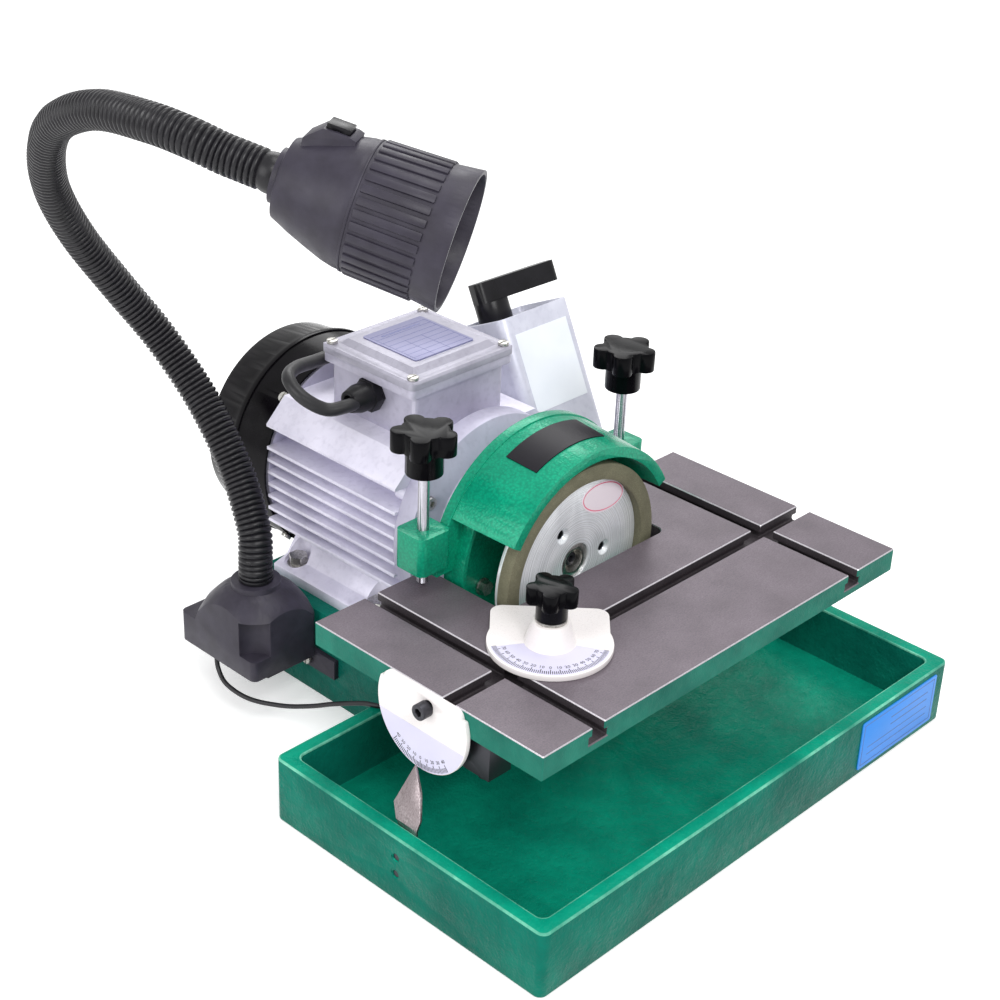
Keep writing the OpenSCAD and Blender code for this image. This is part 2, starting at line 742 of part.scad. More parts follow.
module terminal_box_lid() {
    color("silver") difference() {
        intersection() {
            pulled_back(box_y - lid_l / 2, lid_l) translate([0, box_top]) lid_bevel(lid_w, lid_panel_t);
            pulled_right(-lid_w / 2, lid_w) translate([box_y, box_top]) lid_bevel(lid_l, lid_panel_t);
            translate([0, box_y, box_top - 1]) rounded_box(lid_w, lid_l, 30, 5);
        }
        lid_screws_at(box_top - 1) cylinder(d = 4 + 2 * screw_fit, h = 20);
    }
}

module terminal_lid_screws() {
    color("gray") lid_screws_at(box_top + lid_t) slotted_screw(4, lid_t + 6, 8, 2.6);
}

module motor_nameplate() {
    color("lightsteelblue") translate([0, box_y, box_top + lid_t + lid_panel_t])
        rounded_box(lid_w - 44, lid_l - 40, label_t, 2);
}

module cable_gland() {
    color("dimgray") translate([-box_w / 2, gland_y, gland_z]) rotate([0, -90, 0]) difference() {
        union() {
            rotate(30) cylinder(r = gland_nut_r, h = 8, $fn = 6);
            cylinder(r = 10.5, h = gland_l);
            translate([0, 0, -8]) cylinder(r = 8 - screw_fit, h = 9);
            translate([0, 0, gland_l - small]) cylinder(r1 = 10.5, r2 = 8, h = 8);
        }
        translate([0, 0, -9]) cylinder(d = cable_d + 2 * lead_fit, h = 60);
    }
}

module switch_lead() {
    start = [for (x = [box_w / 2 + 2, gland_mouth_x, gland_mouth_x + 5]) [-x, gland_y - tray_back, gland_z]];
    finish = [for (l = [switch_gland_l + 6, switch_gland_l, 2]) gland_point(l)];
    lead_points = concat(start, switch_route, finish);
    color("dimgray") translate([0, tray_back, 0])
        swept_tube(lead_points, cable_d / 2 - running_fit, 10, 3, [0, 0, 1]);
}

// ---------------------------------------------------------------- guard

module guard_screws_at(y) {
    for (a = [20, 110, 200, 290])
        translate([guard_screw_r * cos(a), y, spindle_z + guard_screw_r * sin(a)]) rotate([90, 0, 0]) children();
}

// A ring sector about the spindle, between two angles counted up from the right
module sector(from_a, to_a) {
    on_spindle(0) rotate(-to_a) rotate_extrude(angle = to_a - from_a) children();
}

module guard_plate_outline() {
    intersection() {
        circle(r = hood_out_r + hood_flare + plate_bead);
        translate([-150, plate_step_z - spindle_z]) square([300, 150]);
    }
    circle(r = skirt_r);
}

module wheel_guard() {
    plate_r = hood_out_r + hood_flare;
    color("mediumseagreen") difference() {
        union() {
            sector(hood_from, hood_to) polygon([[hood_in_r, hood_mouth], [hood_out_r, hood_mouth],
                [plate_r, guard_front + 2], [hood_in_r, guard_front + 2]]);
            pulled_back(guard_front, guard_t) translate([0, spindle_z]) guard_plate_outline();
            sector(hood_to - 1, lip_to) polygon([[skirt_r - 4, guard_front - 10], [skirt_r - 0.5, guard_front - 10],
                [skirt_r - 0.5, guard_front + 2], [skirt_r - 4, guard_front + 2]]);
            for (s = [-1, 1]) translate([s * screw_x, ear_back - ear_d / 2, ear_bottom])
                rounded_box(ear_w, ear_d, ear_h, 5);
        }
        on_spindle(guard_front - 1) cylinder(r = 22, h = guard_t + 2);
        for (s = [-1, 1]) translate([s * screw_x, screw_y, ear_bottom - 1])
            cylinder(d = screw_d + 2 * running_fit, h = ear_h + 2);
        guard_screws_at(guard_back + 1) cylinder(d = guard_screw_d + 2 * screw_fit, h = guard_t + 2);
    }
}

module guard_screws() {
    color("silver") guard_screws_at(guard_front) hex_bolt(guard_screw_d, guard_t + 12, 5);
}

module guard_badge() {
    slope = (hood_flare) / (guard_front - hood_mouth);
    near = wheel_face + 11;
    far = wheel_face + 38;
    color("darkslategray") sector(72, 116) polygon([
        [hood_out_r + slope * (near - hood_mouth), near],
        [hood_out_r + slope * (near - hood_mouth) + label_t, near],
        [hood_out_r + slope * (far - hood_mouth) + label_t, far],
        [hood_out_r + slope * (far - hood_mouth), far]]);
}

// ---------------------------------------------------------------- rotor and wheel

module rotor_shaft() {
    color("silver") on_spindle(0) {
        translate([0, 0, wheel_back + 2]) cylinder(d = shaft_nose_d, h = motor_y - 38 - wheel_back);
        translate([0, 0, motor_y - 36]) cylinder(d = shaft_journal_d, h = 18 + small);
        translate([0, 0, motor_y - 18]) cylinder(d = shaft_body_d, h = housing_l + 22);
        translate([0, 0, motor_end + 4 - small]) cylinder(d = shaft_journal_d, h = 18 + small);
        translate([0, 0, motor_end + 22 - small]) cylinder(d = shaft_tail_d, h = 34);
    }
}

module rotor_core() {
    color("gray") on_spindle(motor_y + 18) difference() {
        cylinder(r = rotor_r, h = housing_l - 36);
        translate([0, 0, -1]) cylinder(d = shaft_body_d, h = housing_l);
    }
}

module cooling_fan() {
    fan_y = motor_end + 28;
    blade_r = fan_cover_r - 18;
    color("dimgray") on_spindle(fan_y) difference() {
        union() {
            cylinder(r = 13, h = 22);
            cylinder(r = blade_r, h = 2.5);
            for (i = [0:7]) rotate(i * 45) translate([10, -1.2, 0]) cube([blade_r - 11, 2.4, 22]);
        }
        translate([0, 0, -1]) cylinder(d = shaft_tail_d, h = 30);
    }
}

module wheel_arbor() {
    color("gray") on_spindle(0) difference() {
        union() {
            translate([0, 0, hub_face]) cylinder(r = hub_ring_r, h = wheel_back - hub_face + 1);
            translate([0, 0, wheel_back]) cylinder(r = arbor_flange_r, h = arbor_flange_t);
            translate([0, 0, wheel_back]) cylinder(r = arbor_hub_r, h = arbor_end - wheel_back);
        }
        translate([0, 0, hub_face - 1]) cylinder(r = 8.5, h = 10);
        translate([0, 0, hub_face]) cylinder(d = 6 + 2 * screw_fit, h = wheel_back - hub_face + 2 + small);
        translate([0, 0, wheel_back + 2]) cylinder(d = shaft_nose_d, h = 100);
    }
}

module arbor_screw() {
    color("dimgray") translate([0, hub_face + 9, spindle_z]) rotate([90, 0, 0])
        socket_screw(6, wheel_back + 2 - hub_face - 9, 10, 6);
}

module wheel_body() {
    color("silver") on_spindle(0) difference() {
        union() {
            translate([0, 0, rim_back]) cylinder(r = wheel_r - 2, h = wheel_disc_t);
            translate([0, 0, rim_back + wheel_disc_t - small]) cylinder(r1 = 60, r2 = 44, h = wheel_body_t - wheel_disc_t + small);
            translate([0, 0, rim_back - 3.5]) cylinder(r = wheel_r - rim_w - running_fit, h = 4);
        }
        translate([0, 0, rim_back - 10]) cylinder(r = hub_ring_r + running_fit, h = 60);
        for (a = [0:120:240]) rotate(a) translate([wheel_hole_r, 0, rim_back - 10]) cylinder(r = 3, h = 60);
        for (a = [0:120:240]) rotate(a) translate([wheel_hole_r, 0, rim_back - 3.5 - small])
            cylinder(r1 = 6, r2 = 3, h = 3);
    }
}

module wheel_rim() {
    color("olive") on_spindle(wheel_face) difference() {
        cylinder(r = wheel_r, h = rim_t);
        translate([0, 0, -1]) cylinder(r = wheel_r - rim_w, h = rim_t + 2);
    }
}

// ---------------------------------------------------------------- table

module t_slot_outline() {
    translate([-slot_w / 2, -slot_neck - 1]) square([slot_w, slot_neck + 2]);
    translate([-slot_foot_w / 2, -slot_neck - slot_foot_h]) square([slot_foot_w, slot_foot_h]);
}

module cap_screws_at(z) {
    for (x = [-1, 1] * (table_w / 2 - 16), y = [pivot_y - 39, pivot_y + 12.5]) translate([x, y, z]) children();
}

module dial_screw_at() {
    translate([-table_w / 2 - dial_t, pivot_y - 6, table_top - table_t / 2]) rotate([0, -90, 0]) children();
}

module table() {
    color("slategray") difference() {
        translate([-table_w / 2, table_front, table_bottom]) cube([table_w, table_d, table_t]);
        translate([0, (notch_front + table_back) / 2 + 20, table_bottom - 1])
            rounded_box(2 * notch_half, table_back - notch_front + 40, table_t + 2, 6);
        pulled_right(-table_w / 2 - 1, table_w + 2) translate([slot_y, table_top]) t_slot_outline();
        for (s = [-1, 1]) pulled_back(table_front - 1, table_d + 2) translate([s * end_slot_x, table_top])
            t_slot_outline();
        translate([-table_w / 2 - 1, pivot_y, pivot_z]) facing_right() cylinder(d = pivot_d, h = table_w + 2);
        for (x = [-pedestal_w / 2 - 2, arm_inner - 2]) translate([x, pivot_y - arm_eye_r - 1.7, table_bottom - 1])
            cube([arm_t + 4, 2 * arm_eye_r + 3.4, arm_eye_r + 3.2 - pivot_drop]);
        cap_screws_at(table_bottom - 1) cylinder(d = 6 + 2 * screw_fit, h = 13);
        dial_screw_at() translate([0, 0, -20]) cylinder(d = 8 + 2 * screw_fit, h = 30);
    }
}

module pivot_shaft() {
    color("silver") translate([-table_w / 2 + 1, pivot_y, pivot_z]) facing_right()
        cylinder(d = pivot_d, h = table_w - 5);
}

module pivot_caps() {
    color("black") for (x = [-table_w / 2 + 6, table_w / 2 - 26]) difference() {
        translate([x, pivot_y - 51, table_bottom - 30]) cube([20, 70, 30]);
        translate([x - 1, pivot_y, pivot_z]) facing_right() cylinder(d = pivot_d, h = 22);
        cap_screws_at(table_bottom - 31) cylinder(d = 6 + 2 * screw_fit, h = 40);
    }
}

module pivot_cap_screws() {
    color("dimgray") cap_screws_at(table_bottom - 30) rotate([180, 0, 0]) socket_screw(6, 40, 10, 6);
}

module dial_outline() {
    flat = table_top - pivot_z;
    corner = 6;
    chord = sqrt(dial_r * dial_r - flat * flat);
    intersection() {
        circle(r = dial_r);
        union() {
            translate([-dial_r, -dial_r]) square([2 * dial_r, dial_r + flat - corner]);
            translate([-chord + corner, 0]) square([2 * chord - 2 * corner, flat]);
            for (s = [-1, 1]) translate([s * (chord - corner), flat - corner]) circle(r = corner);
        }
    }
}

module tilt_dial() {
    color("white") difference() {
        pulled_right(-table_w / 2 - dial_t, dial_t) translate([pivot_y, pivot_z]) dial_outline();
        dial_screw_at() translate([0, 0, -dial_t - 1]) cylinder(d = 8 + 2 * screw_fit, h = dial_t + 2);
    }
}

module tilt_dial_screw() {
    color("black") dial_screw_at() socket_screw(8, dial_t + 14, 13.5, 8);
}

// ---------------------------------------------------------------- adjusting screws

module adjusting_screw(side) {
    tip = 3;
    color("silver") translate([side * screw_x, screw_y, tip_z]) {
        cylinder(d1 = screw_d - 2 * tip, d2 = screw_d, h = tip);
        translate([0, 0, tip - small]) cylinder(d = screw_d, h = knob_top - 6 - tip_z - tip);
    }
}

module adjusting_knob(side) {
    color("black") translate([side * screw_x, screw_y, knob_bottom]) difference() {
        union() {
            cylinder(d = knob_hub_d, h = knob_hub_h + 1);
            translate([0, 0, knob_hub_h]) star(knob_d, knob_h);
        }
        translate([0, 0, -1]) cylinder(d = screw_d + 2 * running_fit, h = knob_hub_h + knob_h - 5 + 0.2);
    }
}

module left_adjusting_screw() {
    adjusting_screw(-1);
}

module right_adjusting_screw() {
    adjusting_screw(1);
}

module left_knob() {
    adjusting_knob(-1);
}

module right_knob() {
    adjusting_knob(1);
}

// ---------------------------------------------------------------- fence

module fence_t_bolt() {
    color("dimgray") translate([-stud_x, slot_y, 0]) {
        translate([-10, -slot_foot_w / 2 + 0.5, slot_floor + 0.4])
            cube([20, slot_foot_w - 1, slot_foot_h - 0.5]);
        translate([-7, -slot_w / 2 + 0.3, slot_floor + 1]) cube([14, slot_w - 0.6, table_top - slot_floor - 1.2]);
        translate([0, 0, slot_floor + 1]) cylinder(d = stud_d, h = fence_hub_z + fence_hub_h + 4 - slot_floor);
        translate([0, 0, washer_z]) cylinder(d = fence_hub_d, h = washer_t);
    }
}

module protractor_outline() {
    corner = 9;
    difference() {
        union() {
            circle(r = fence_r);
            translate([0, -fence_half_w]) square([fence_reach - corner, 2 * fence_half_w]);
            translate([0, corner - fence_half_w]) square([fence_reach, 2 * (fence_half_w - corner)]);
            for (s = [-1, 1]) translate([fence_reach - corner, s * (fence_half_w - corner)]) circle(r = corner);
        }
        translate([fence_reach, -60]) square([30, 120]);
    }
}

module protractor() {
    color("white") translate([-stud_x, slot_y, fence_z]) rotate(fence_angle) difference() {
        union() {
            linear_extrude(height = fence_t) protractor_outline();
            translate([0, 0, fence_t - small])
                cylinder(r1 = collar_foot_r, r2 = collar_head_r, h = fence_collar_h + small);
        }
        translate([0, 0, -1]) cylinder(d = stud_d + 2 * running_fit, h = fence_t + fence_collar_h + 2);
    }
}

module fence_knob() {
    color("black") translate([-stud_x, slot_y, fence_hub_z]) difference() {
        union() {
            cylinder(d = fence_hub_d, h = fence_hub_h + 1);
            translate([0, 0, fence_hub_h]) star(fence_knob_d, fence_star_h);
        }
        translate([0, 0, -1]) cylinder(d = stud_d + 2 * running_fit, h = fence_hub_h + 8);
    }
}

// ---------------------------------------------------------------- switch

module in_switch() {
    translate([switch_x, switch_y, switch_z]) rotate([-switch_lean, 0, 0]) children();
}

// World place of a point in the switch's own frame, with Y counted from the pedestal's front
function from_switch(p) = [switch_x + p[0],
    switch_y - tray_back + p[1] * cos(switch_lean) + p[2] * sin(switch_lean),
    switch_z - p[1] * sin(switch_lean) + p[2] * cos(switch_lean)];
function gland_point(below) = from_switch([switch_w / 2, switch_d / 2, -below]);

module switch_cover() {
    color("silver") in_switch() difference() {
        translate([switch_w / 2, switch_d / 2, 0]) rounded_box(switch_w, switch_d, switch_h, 8);
        translate([switch_w / 2, switch_d / 2, cover_t])
            rounded_box(switch_w - 2 * cover_t, switch_d - 2 * cover_t, switch_h, 5);
        translate([switch_w / 2, switch_d / 2, -1]) cylinder(d = 16, h = cover_t + 2);
    }
}

module switch_end_cap() {
    color("gainsboro") in_switch() difference() {
        union() {
            translate([switch_w / 2, switch_d / 2, switch_h - cap_drop - cap_t])
                rounded_box(switch_w - 2 * cover_t, switch_d - 2 * cover_t, cap_t, 5);
            translate([handle_x, handle_y, cover_t + 6])
                cylinder(r = 17, h = switch_h - cap_drop - cap_t - cover_t - 6 + small);
        }
        translate([handle_x, handle_y, cover_t]) cylinder(d = handle_shaft_d + 2 * running_fit, h = switch_h);
    }
}

module switch_handle() {
    base_z = switch_h - cap_drop + seat_gap;
    stub_h = 17;
    bar_h = 16;
    bar_w = 18;
    color("black") in_switch() translate([handle_x, handle_y, 0]) {
        translate([0, 0, cover_t + 30]) cylinder(d = handle_shaft_d, h = base_z - cover_t - 29);
        translate([0, 0, base_z]) cylinder(r = 13.5, h = stub_h);
        rotate(handle_turn) translate([handle_l / 2 - 13, 0, base_z + stub_h - small])
            rounded_box(handle_l, bar_w, bar_h, 6);
    }
}

module switch_gland() {
    color("dimgray") in_switch() translate([switch_w / 2, switch_d / 2, 0]) rotate([180, 0, 0]) difference() {
        union() {
            cylinder(r = 12.5, h = 6, $fn = 6);
            cylinder(r = 9.5, h = switch_gland_l);
            translate([0, 0, -8]) cylinder(r = 8 - screw_fit, h = 9);
        }
        translate([0, 0, -9]) cylinder(d = cable_d + 2 * lead_fit, h = 60);
    }
}

module side_plate_outline() {
    top = from_switch([0, switch_d + switch_plate_t, 40]);
    inner = from_switch([0, switch_d, 40]);
    low = from_switch([0, switch_d, -4]);
    polygon([[tray_back + 50, 18], [tray_back + 128, 18], [tray_back + 128, 90],
        [tray_back + top[1], top[2]], [tray_back + inner[1], inner[2]],
        [tray_back + low[1], low[2]], [tray_back + 50, 66]]);
}

module switch_bracket() {
    color("seagreen") difference() {
        union() {
            in_switch() translate([0, switch_d, -4]) cube([switch_w, switch_plate_t, switch_h + 0.5]);
            pulled_right(side_plate_x, switch_plate_t) side_plate_outline();
        }
        side_bolts_at() translate([0, 0, -switch_plate_t - 1])
            cylinder(d = side_bolt_d + 2 * screw_fit, h = switch_plate_t + 2);
    }
}

module switch_bracket_bolts() {
    color("silver") side_bolts_at() hex_bolt(side_bolt_d, switch_plate_t + pedestal_wall, 5.5);
}

// ---------------------------------------------------------------- lamp

module lamp_bracket() {
    color("black") difference() {
        union() {
            translate([-pedestal_w / 2 - bracket_t, bracket_y, bracket_low])
                cube([bracket_t, bracket_l, shelf_z + shelf_t - bracket_low]);
            translate([-pedestal_w / 2 - bracket_t - 46, bracket_y + 20, shelf_z])
                cube([46 + small, bracket_l - 24, shelf_t]);
        }
        bracket_screws_at() translate([0, 0, -bracket_t - 1]) cylinder(d = 5 + 2 * screw_fit, h = bracket_t + 2);
    }
}

module lamp_bracket_screws() {
    color("gray") bracket_screws_at() slotted_screw(5, bracket_t + pedestal_wall - 2, 9, 3);
}

module lamp_base() {
    body_h = 24;
    recess_r = 16;
    ledge_z = 16;
    color("dimgray") translate([lamp_x, lamp_y, lamp_z]) difference() {
        union() {
            rounded_box(lamp_base_w, lamp_base_l, body_h, 5);
            intersection() {
                translate([0, -dome_ahead, 0]) rotate_extrude() polygon([[0, body_h - 1], [46, body_h - 1],
                    [43, body_h + 8], [37, body_h + 18], [29, lamp_base_h - 11], [22, lamp_base_h - 5.5],
                    [18, lamp_base_h - 4], [18, lamp_base_h], [0, lamp_base_h]]);
                rounded_box(lamp_base_w, lamp_base_l, lamp_base_h, 5);
            }
        }
        translate([0, 0, -1]) rounded_box(44, 48, 33, 5);
        translate([-lamp_base_w / 2, -lamp_base_l / 2, ledge_z]) cylinder(r = recess_r, h = 44 - ledge_z);
    }
}

module lamp_lead() {
    color("dimgray") translate([0, tray_back, 0]) swept_tube(lamp_route, lead_d / 2, 8, 3, [1, 0, 0]);
}

module flexible_neck() {
    color("dimgray") translate([lamp_x, neck_y, lamp_top])
        swept_tube(neck_points, neck_d / 2, 12, 3, [1, 0, 0]);
}

module in_head() {
    translate([head_x, head_y, head_z]) rotate(head_turn) children();
}

module neck_ferrules() {
    color("black") {
        translate([lamp_x, neck_y, lamp_top + seat_gap]) cylinder(r = neck_d / 2, h = ferrule_h);
        translate([head_x, head_y, head_z]) rotate(neck_turn) rotate_extrude() intersection() {
            circle(r = ball_r);
            translate([0, -ball_cut]) square([neck_d, neck_d]);
        }
    }
}

module rocker_pin(r) {
    translate([-rocker_pin_r, -8, rocker_z]) rotate([-90, 0, 0]) cylinder(r = r, h = 16);
}

module lamp_head() {
    socket_r = ball_r + 0.5;
    collar_r = 16.5;
    rim = 3;
    color("dimgray") in_head() difference() {
        union() {
            rotate_extrude() polygon(concat([[0, rim], [collar_r, rim], [collar_r, head_shell[0][1] - 2]],
                head_shell, [[0, head_l]]));
            translate([0, 9, 0]) rotate([90, 0, 0]) linear_extrude(height = 18) polygon([
                [-20, rocker_z - 18], [-30.5, rocker_z - 18], [-rocker_pin_r - 1, rocker_z - 8],
                [-rocker_pin_r - 1, rocker_z + 8.5], [-rocker_pin_r, rocker_z + 12], [-20, rocker_z + 12]]);
        }
        difference() {
            translate([-rocker_pin_r - 3, -6.4, rocker_z - 7.4]) cube([7, 12.8, 14.8]);
            rocker_pin(1.5);
        }
        rotate_extrude() polygon(concat([[0, 19], [22, 19]],
            [for (i = [2:len(head_shell) - 1]) [head_shell[i][0] - head_wall, head_shell[i][1] + 1]],
            [[0, head_l + 1]]));
        sphere(r = socket_r);
    }
}

module lamp_rocker() {
    color("black") in_head() difference() {
        translate([-rocker_pin_r - 4, -6, rocker_z - 7]) cube([5.5, 12, 14]);
        rocker_pin(1.5 + running_fit);
    }
}

module lamp_bulb() {
    glass = 1.2;
    color("white") in_head() rotate_extrude() polygon([[0, 19], [13, 19], [13, 34], [15, 42], [22, 52], [26, 62],
        [25, 72], [20, 81], [11, 87], [0, 89], [0, 89 - glass], [11 - glass / 2, 87 - glass],
        [20 - glass, 81 - glass / 2], [25 - glass, 72], [26 - glass, 62], [22 - glass, 52], [15 - glass, 42],
        [13 - glass, 34], [13 - glass, 22], [0, 22]]);
}

// ---------------------------------------------------------------- nodes

drip_tray();
rating_plate();
motor_pedestal();
pedestal_bolts();
pointer();
pointer_screws();
motor_foot();
motor_foot_bolts();
motor_housing();
front_end_shield();
front_shield_screws();
rear_end_shield();
stator();
bearings();
fan_cover();
fan_cover_screws();
terminal_box();
terminal_box_lid();
terminal_lid_screws();
motor_nameplate();
cable_gland();
switch_lead();
wheel_guard();
guard_screws();
guard_badge();
rotor_shaft();
rotor_core();
cooling_fan();
wheel_arbor();
arbor_screw();
wheel_body();
wheel_rim();
table();
pivot_shaft();
pivot_caps();
pivot_cap_screws();
tilt_dial();
tilt_dial_screw();
left_adjusting_screw();
right_adjusting_screw();
left_knob();
right_knob();
fence_t_bolt();
protractor();
fence_knob();
switch_cover();
switch_end_cap();
switch_gland();
switch_bracket();
switch_bracket_bolts();
switch_handle();
lamp_bracket();
lamp_bracket_screws();
lamp_base();
lamp_lead();
flexible_neck();
neck_ferrules();
lamp_head();
lamp_rocker();
lamp_bulb();
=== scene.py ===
"""Dresses a bench drill bit sharpener: its castings, motor, wheel, slotted table, fence, switch and lamp."""

from __future__ import annotations

import json
import logging
import math
from collections.abc import Callable, Iterator, Sequence
from contextlib import contextmanager
from dataclasses import dataclass
from enum import Enum

import bpy
from mathutils import Matrix, Vector


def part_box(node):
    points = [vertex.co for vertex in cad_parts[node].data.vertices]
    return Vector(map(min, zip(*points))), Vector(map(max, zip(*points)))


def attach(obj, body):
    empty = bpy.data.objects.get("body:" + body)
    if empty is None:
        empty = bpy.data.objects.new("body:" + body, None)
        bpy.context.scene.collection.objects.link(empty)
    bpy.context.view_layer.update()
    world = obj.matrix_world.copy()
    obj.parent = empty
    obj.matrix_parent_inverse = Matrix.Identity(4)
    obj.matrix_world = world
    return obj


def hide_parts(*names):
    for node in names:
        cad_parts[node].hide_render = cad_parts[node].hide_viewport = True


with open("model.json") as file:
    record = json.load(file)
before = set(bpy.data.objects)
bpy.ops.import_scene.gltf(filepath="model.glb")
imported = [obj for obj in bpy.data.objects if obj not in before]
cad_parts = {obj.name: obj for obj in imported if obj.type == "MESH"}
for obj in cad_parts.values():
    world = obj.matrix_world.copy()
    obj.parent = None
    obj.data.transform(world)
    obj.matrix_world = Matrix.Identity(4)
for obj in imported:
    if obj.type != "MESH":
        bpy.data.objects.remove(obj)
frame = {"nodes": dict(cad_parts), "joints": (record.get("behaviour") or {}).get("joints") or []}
log = logging.getLogger("sharpener")

Socket = bpy.types.NodeSocket
Tree = bpy.types.NodeTree
Piece = bpy.types.Object
FaceTest = Callable[[bpy.types.MeshPolygon], bool]
Pair = tuple[float, float]
Triple = tuple[float, float, float]
Sockets = dict[str, object]

MM = 0.001


def joint_at(name: str) -> Vector:
    """Finds where one of the frame's joints turns.

    Args:
        name: The joint's name.

    Returns:
        The joint's place.
    """
    return Vector(next(joint["pos_m"] for joint in frame["joints"] if joint["name"] == name))


def turned(degrees: float, axis: str) -> Matrix:
    """Turns by an angle in degrees about an axis."""
    return Matrix.Rotation(math.radians(degrees), 4, axis)


# Places that the whole machine is set out from, as the frame has them
SPINDLE_Z = joint_at("spindle_spin").z
TABLE_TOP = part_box("table")[1].z
TABLE_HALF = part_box("table")[1].x
WHEEL_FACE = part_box("wheel_body")[0].y
DIAL_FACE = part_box("tilt_dial")[0].x
PROTRACTOR_TOP = TABLE_TOP + 4.1 * MM
PIVOT = joint_at("table_tilt")
STUD = joint_at("fence_swivel")
NECK_FOOT = joint_at("neck_swing")
NECK_END = joint_at("head_tilt")

# How the fence, the lamp's head and the switch stand, in degrees
FENCE_TURN = 43.2
HEAD_TURN, HEAD_LEAN = -58.3, 104.4
SWITCH_LEAN = -26
HEAD_PLACE = Matrix.Translation(NECK_END) @ turned(HEAD_TURN, "Z") @ turned(HEAD_LEAN, "Y")
SWITCH_PLACE = Matrix.Translation((0.084, 0.169, 0.1536)) @ turned(SWITCH_LEAN, "X")


class Shading(Enum):
    """How sharp an edge must be, in degrees, to be rounded, or to stay hard under smooth shading."""

    ROUNDED = 32
    MACHINED = 30
    MOULDED = 50


# ---- shader helpers


def srgb(code: str) -> tuple[float, float, float, float]:
    """Turns a hex colour as the eye sees it into the linear colour that a shader wants.

    Args:
        code: Six hex digits, with or without a leading #.

    Returns:
        The linear red, green, blue and alpha.
    """
    digits = code.lstrip("#")
    parts = [int(digits[i : i + 2], 16) / 255 for i in (0, 2, 4)]
    linear = [c / 12.92 if c <= 0.04045 else ((c + 0.055) / 1.055) ** 2.4 for c in parts]
    return (linear[0], linear[1], linear[2], 1.0)


def add(tree: Tree, kind: str, inputs: dict | None = None, out: int | str = 0, **settings: object) -> Socket:
    """Adds one shader node with its settings and its links.

    Args:
        tree: The material's node tree.
        kind: The node's type, without the ShaderNode in front.
        inputs: Socket name or number to a value, or to the socket that feeds it.
        out: Which output is wanted.
        settings: The node's own attributes.

    Returns:
        The output wanted, or the first input of a node that has no outputs.
    """
    node = tree.nodes.new("ShaderNode" + kind)
    for name, value in settings.items():
        setattr(node, name, value)
    for name, value in (inputs or {}).items():
        if isinstance(value, Socket):
            tree.links.new(value, node.inputs[name])
        else:
            node.inputs[name].default_value = value
    return node.outputs[out] if node.outputs else node.inputs[0]


@dataclass(frozen=True)
class Finish:
    """A surface finish. Each kind says how it shades; the material is made once and shared.

    Attributes:
        name: The finish's plain name, which its material gets.
        colour: Its main colour, as sRGB hex.
        shade: Its darker colour, as sRGB hex.
    """

    name: str
    colour: str
    shade: str

    def material(self) -> bpy.types.Material:
        """Makes the finish's material, or finds it if it is there.

        Returns:
            The node material.
        """
        found = bpy.data.materials.get(self.name)
        if found:
            return found
        made = bpy.data.materials.new(self.name)
        made.use_nodes = True
        made.diffuse_color = srgb(self.colour)
        tree = made.node_tree
        tree.nodes.clear()
        where = add(tree, "TexCoord", out="Object")
        skin = add(tree, "BsdfPrincipled", self.surface(tree, where))
        add(tree, "OutputMaterial", {"Surface": skin})
        return made

    def surface(self, tree: Tree, where: Socket) -> Sockets:
        """Says what goes into the shader's sockets.

        Args:
            tree: The material's node tree.
            where: Object coordinates, in metres.

        Returns:
            Socket name to value or feeding socket.
        """
        return {"Base Color": self.mottle(tree, self.patches(tree, where, 20 * MM))}

    def patches(self, tree: Tree, where: Socket, size: float, detail: float = 3.0,
                span: Pair = (0.35, 0.7), to: Pair = (0.0, 1.0),
                stretch: Triple = (1, 1, 1)) -> Socket:
        """Lays cloudy patches whose width is a real size.

        Args:
            tree: The material's node tree.
            where: The coordinates that the patches lie in.
            size: A patch's width in metres.
            detail: How many finer layers lie on it.
            span: The part of the cloud's range that is used.
            to: What the two ends of that part become.
            stretch: Scale along each axis, for streaks.

        Returns:
            The patches' value.
        """
        laid = add(tree, "Mapping", {"Vector": where, "Scale": stretch})
        cloud = add(tree, "TexNoise", {"Vector": laid, "Scale": 1 / size, "Detail": detail})
        return add(tree, "MapRange", {0: cloud, 1: span[0], 2: span[1], 3: to[0], 4: to[1]})

    def mottle(self, tree: Tree, *shares: Socket) -> Socket:
        """Darkens the main colour towards the shade wherever a share says so.

        Args:
            tree: The material's node tree.
            shares: How much of the shade each layer brings.

        Returns:
            The colour.
        """
        colour = srgb(self.colour)
        for share in shares:
            colour = add(tree, "Mix", {0: share, 6: colour, 7: srgb(self.shade)}, out=2, data_type="RGBA")
        return colour

    def relief(self, tree: Tree, *layers: tuple[Socket, float, float]) -> Socket:
        """Stacks bumps of real depths.

        Args:
            tree: The material's node tree.
            layers: Each bump's height, its depth in metres and how much of it shows.

        Returns:
            The bent normal.
        """
        normal = None
        for height, depth, strength in layers:
            inputs = {"Height": height, "Distance": depth, "Strength": strength}
            if normal:
                inputs["Normal"] = normal
            normal = add(tree, "Bump", inputs)
        return normal


# ---- finishes


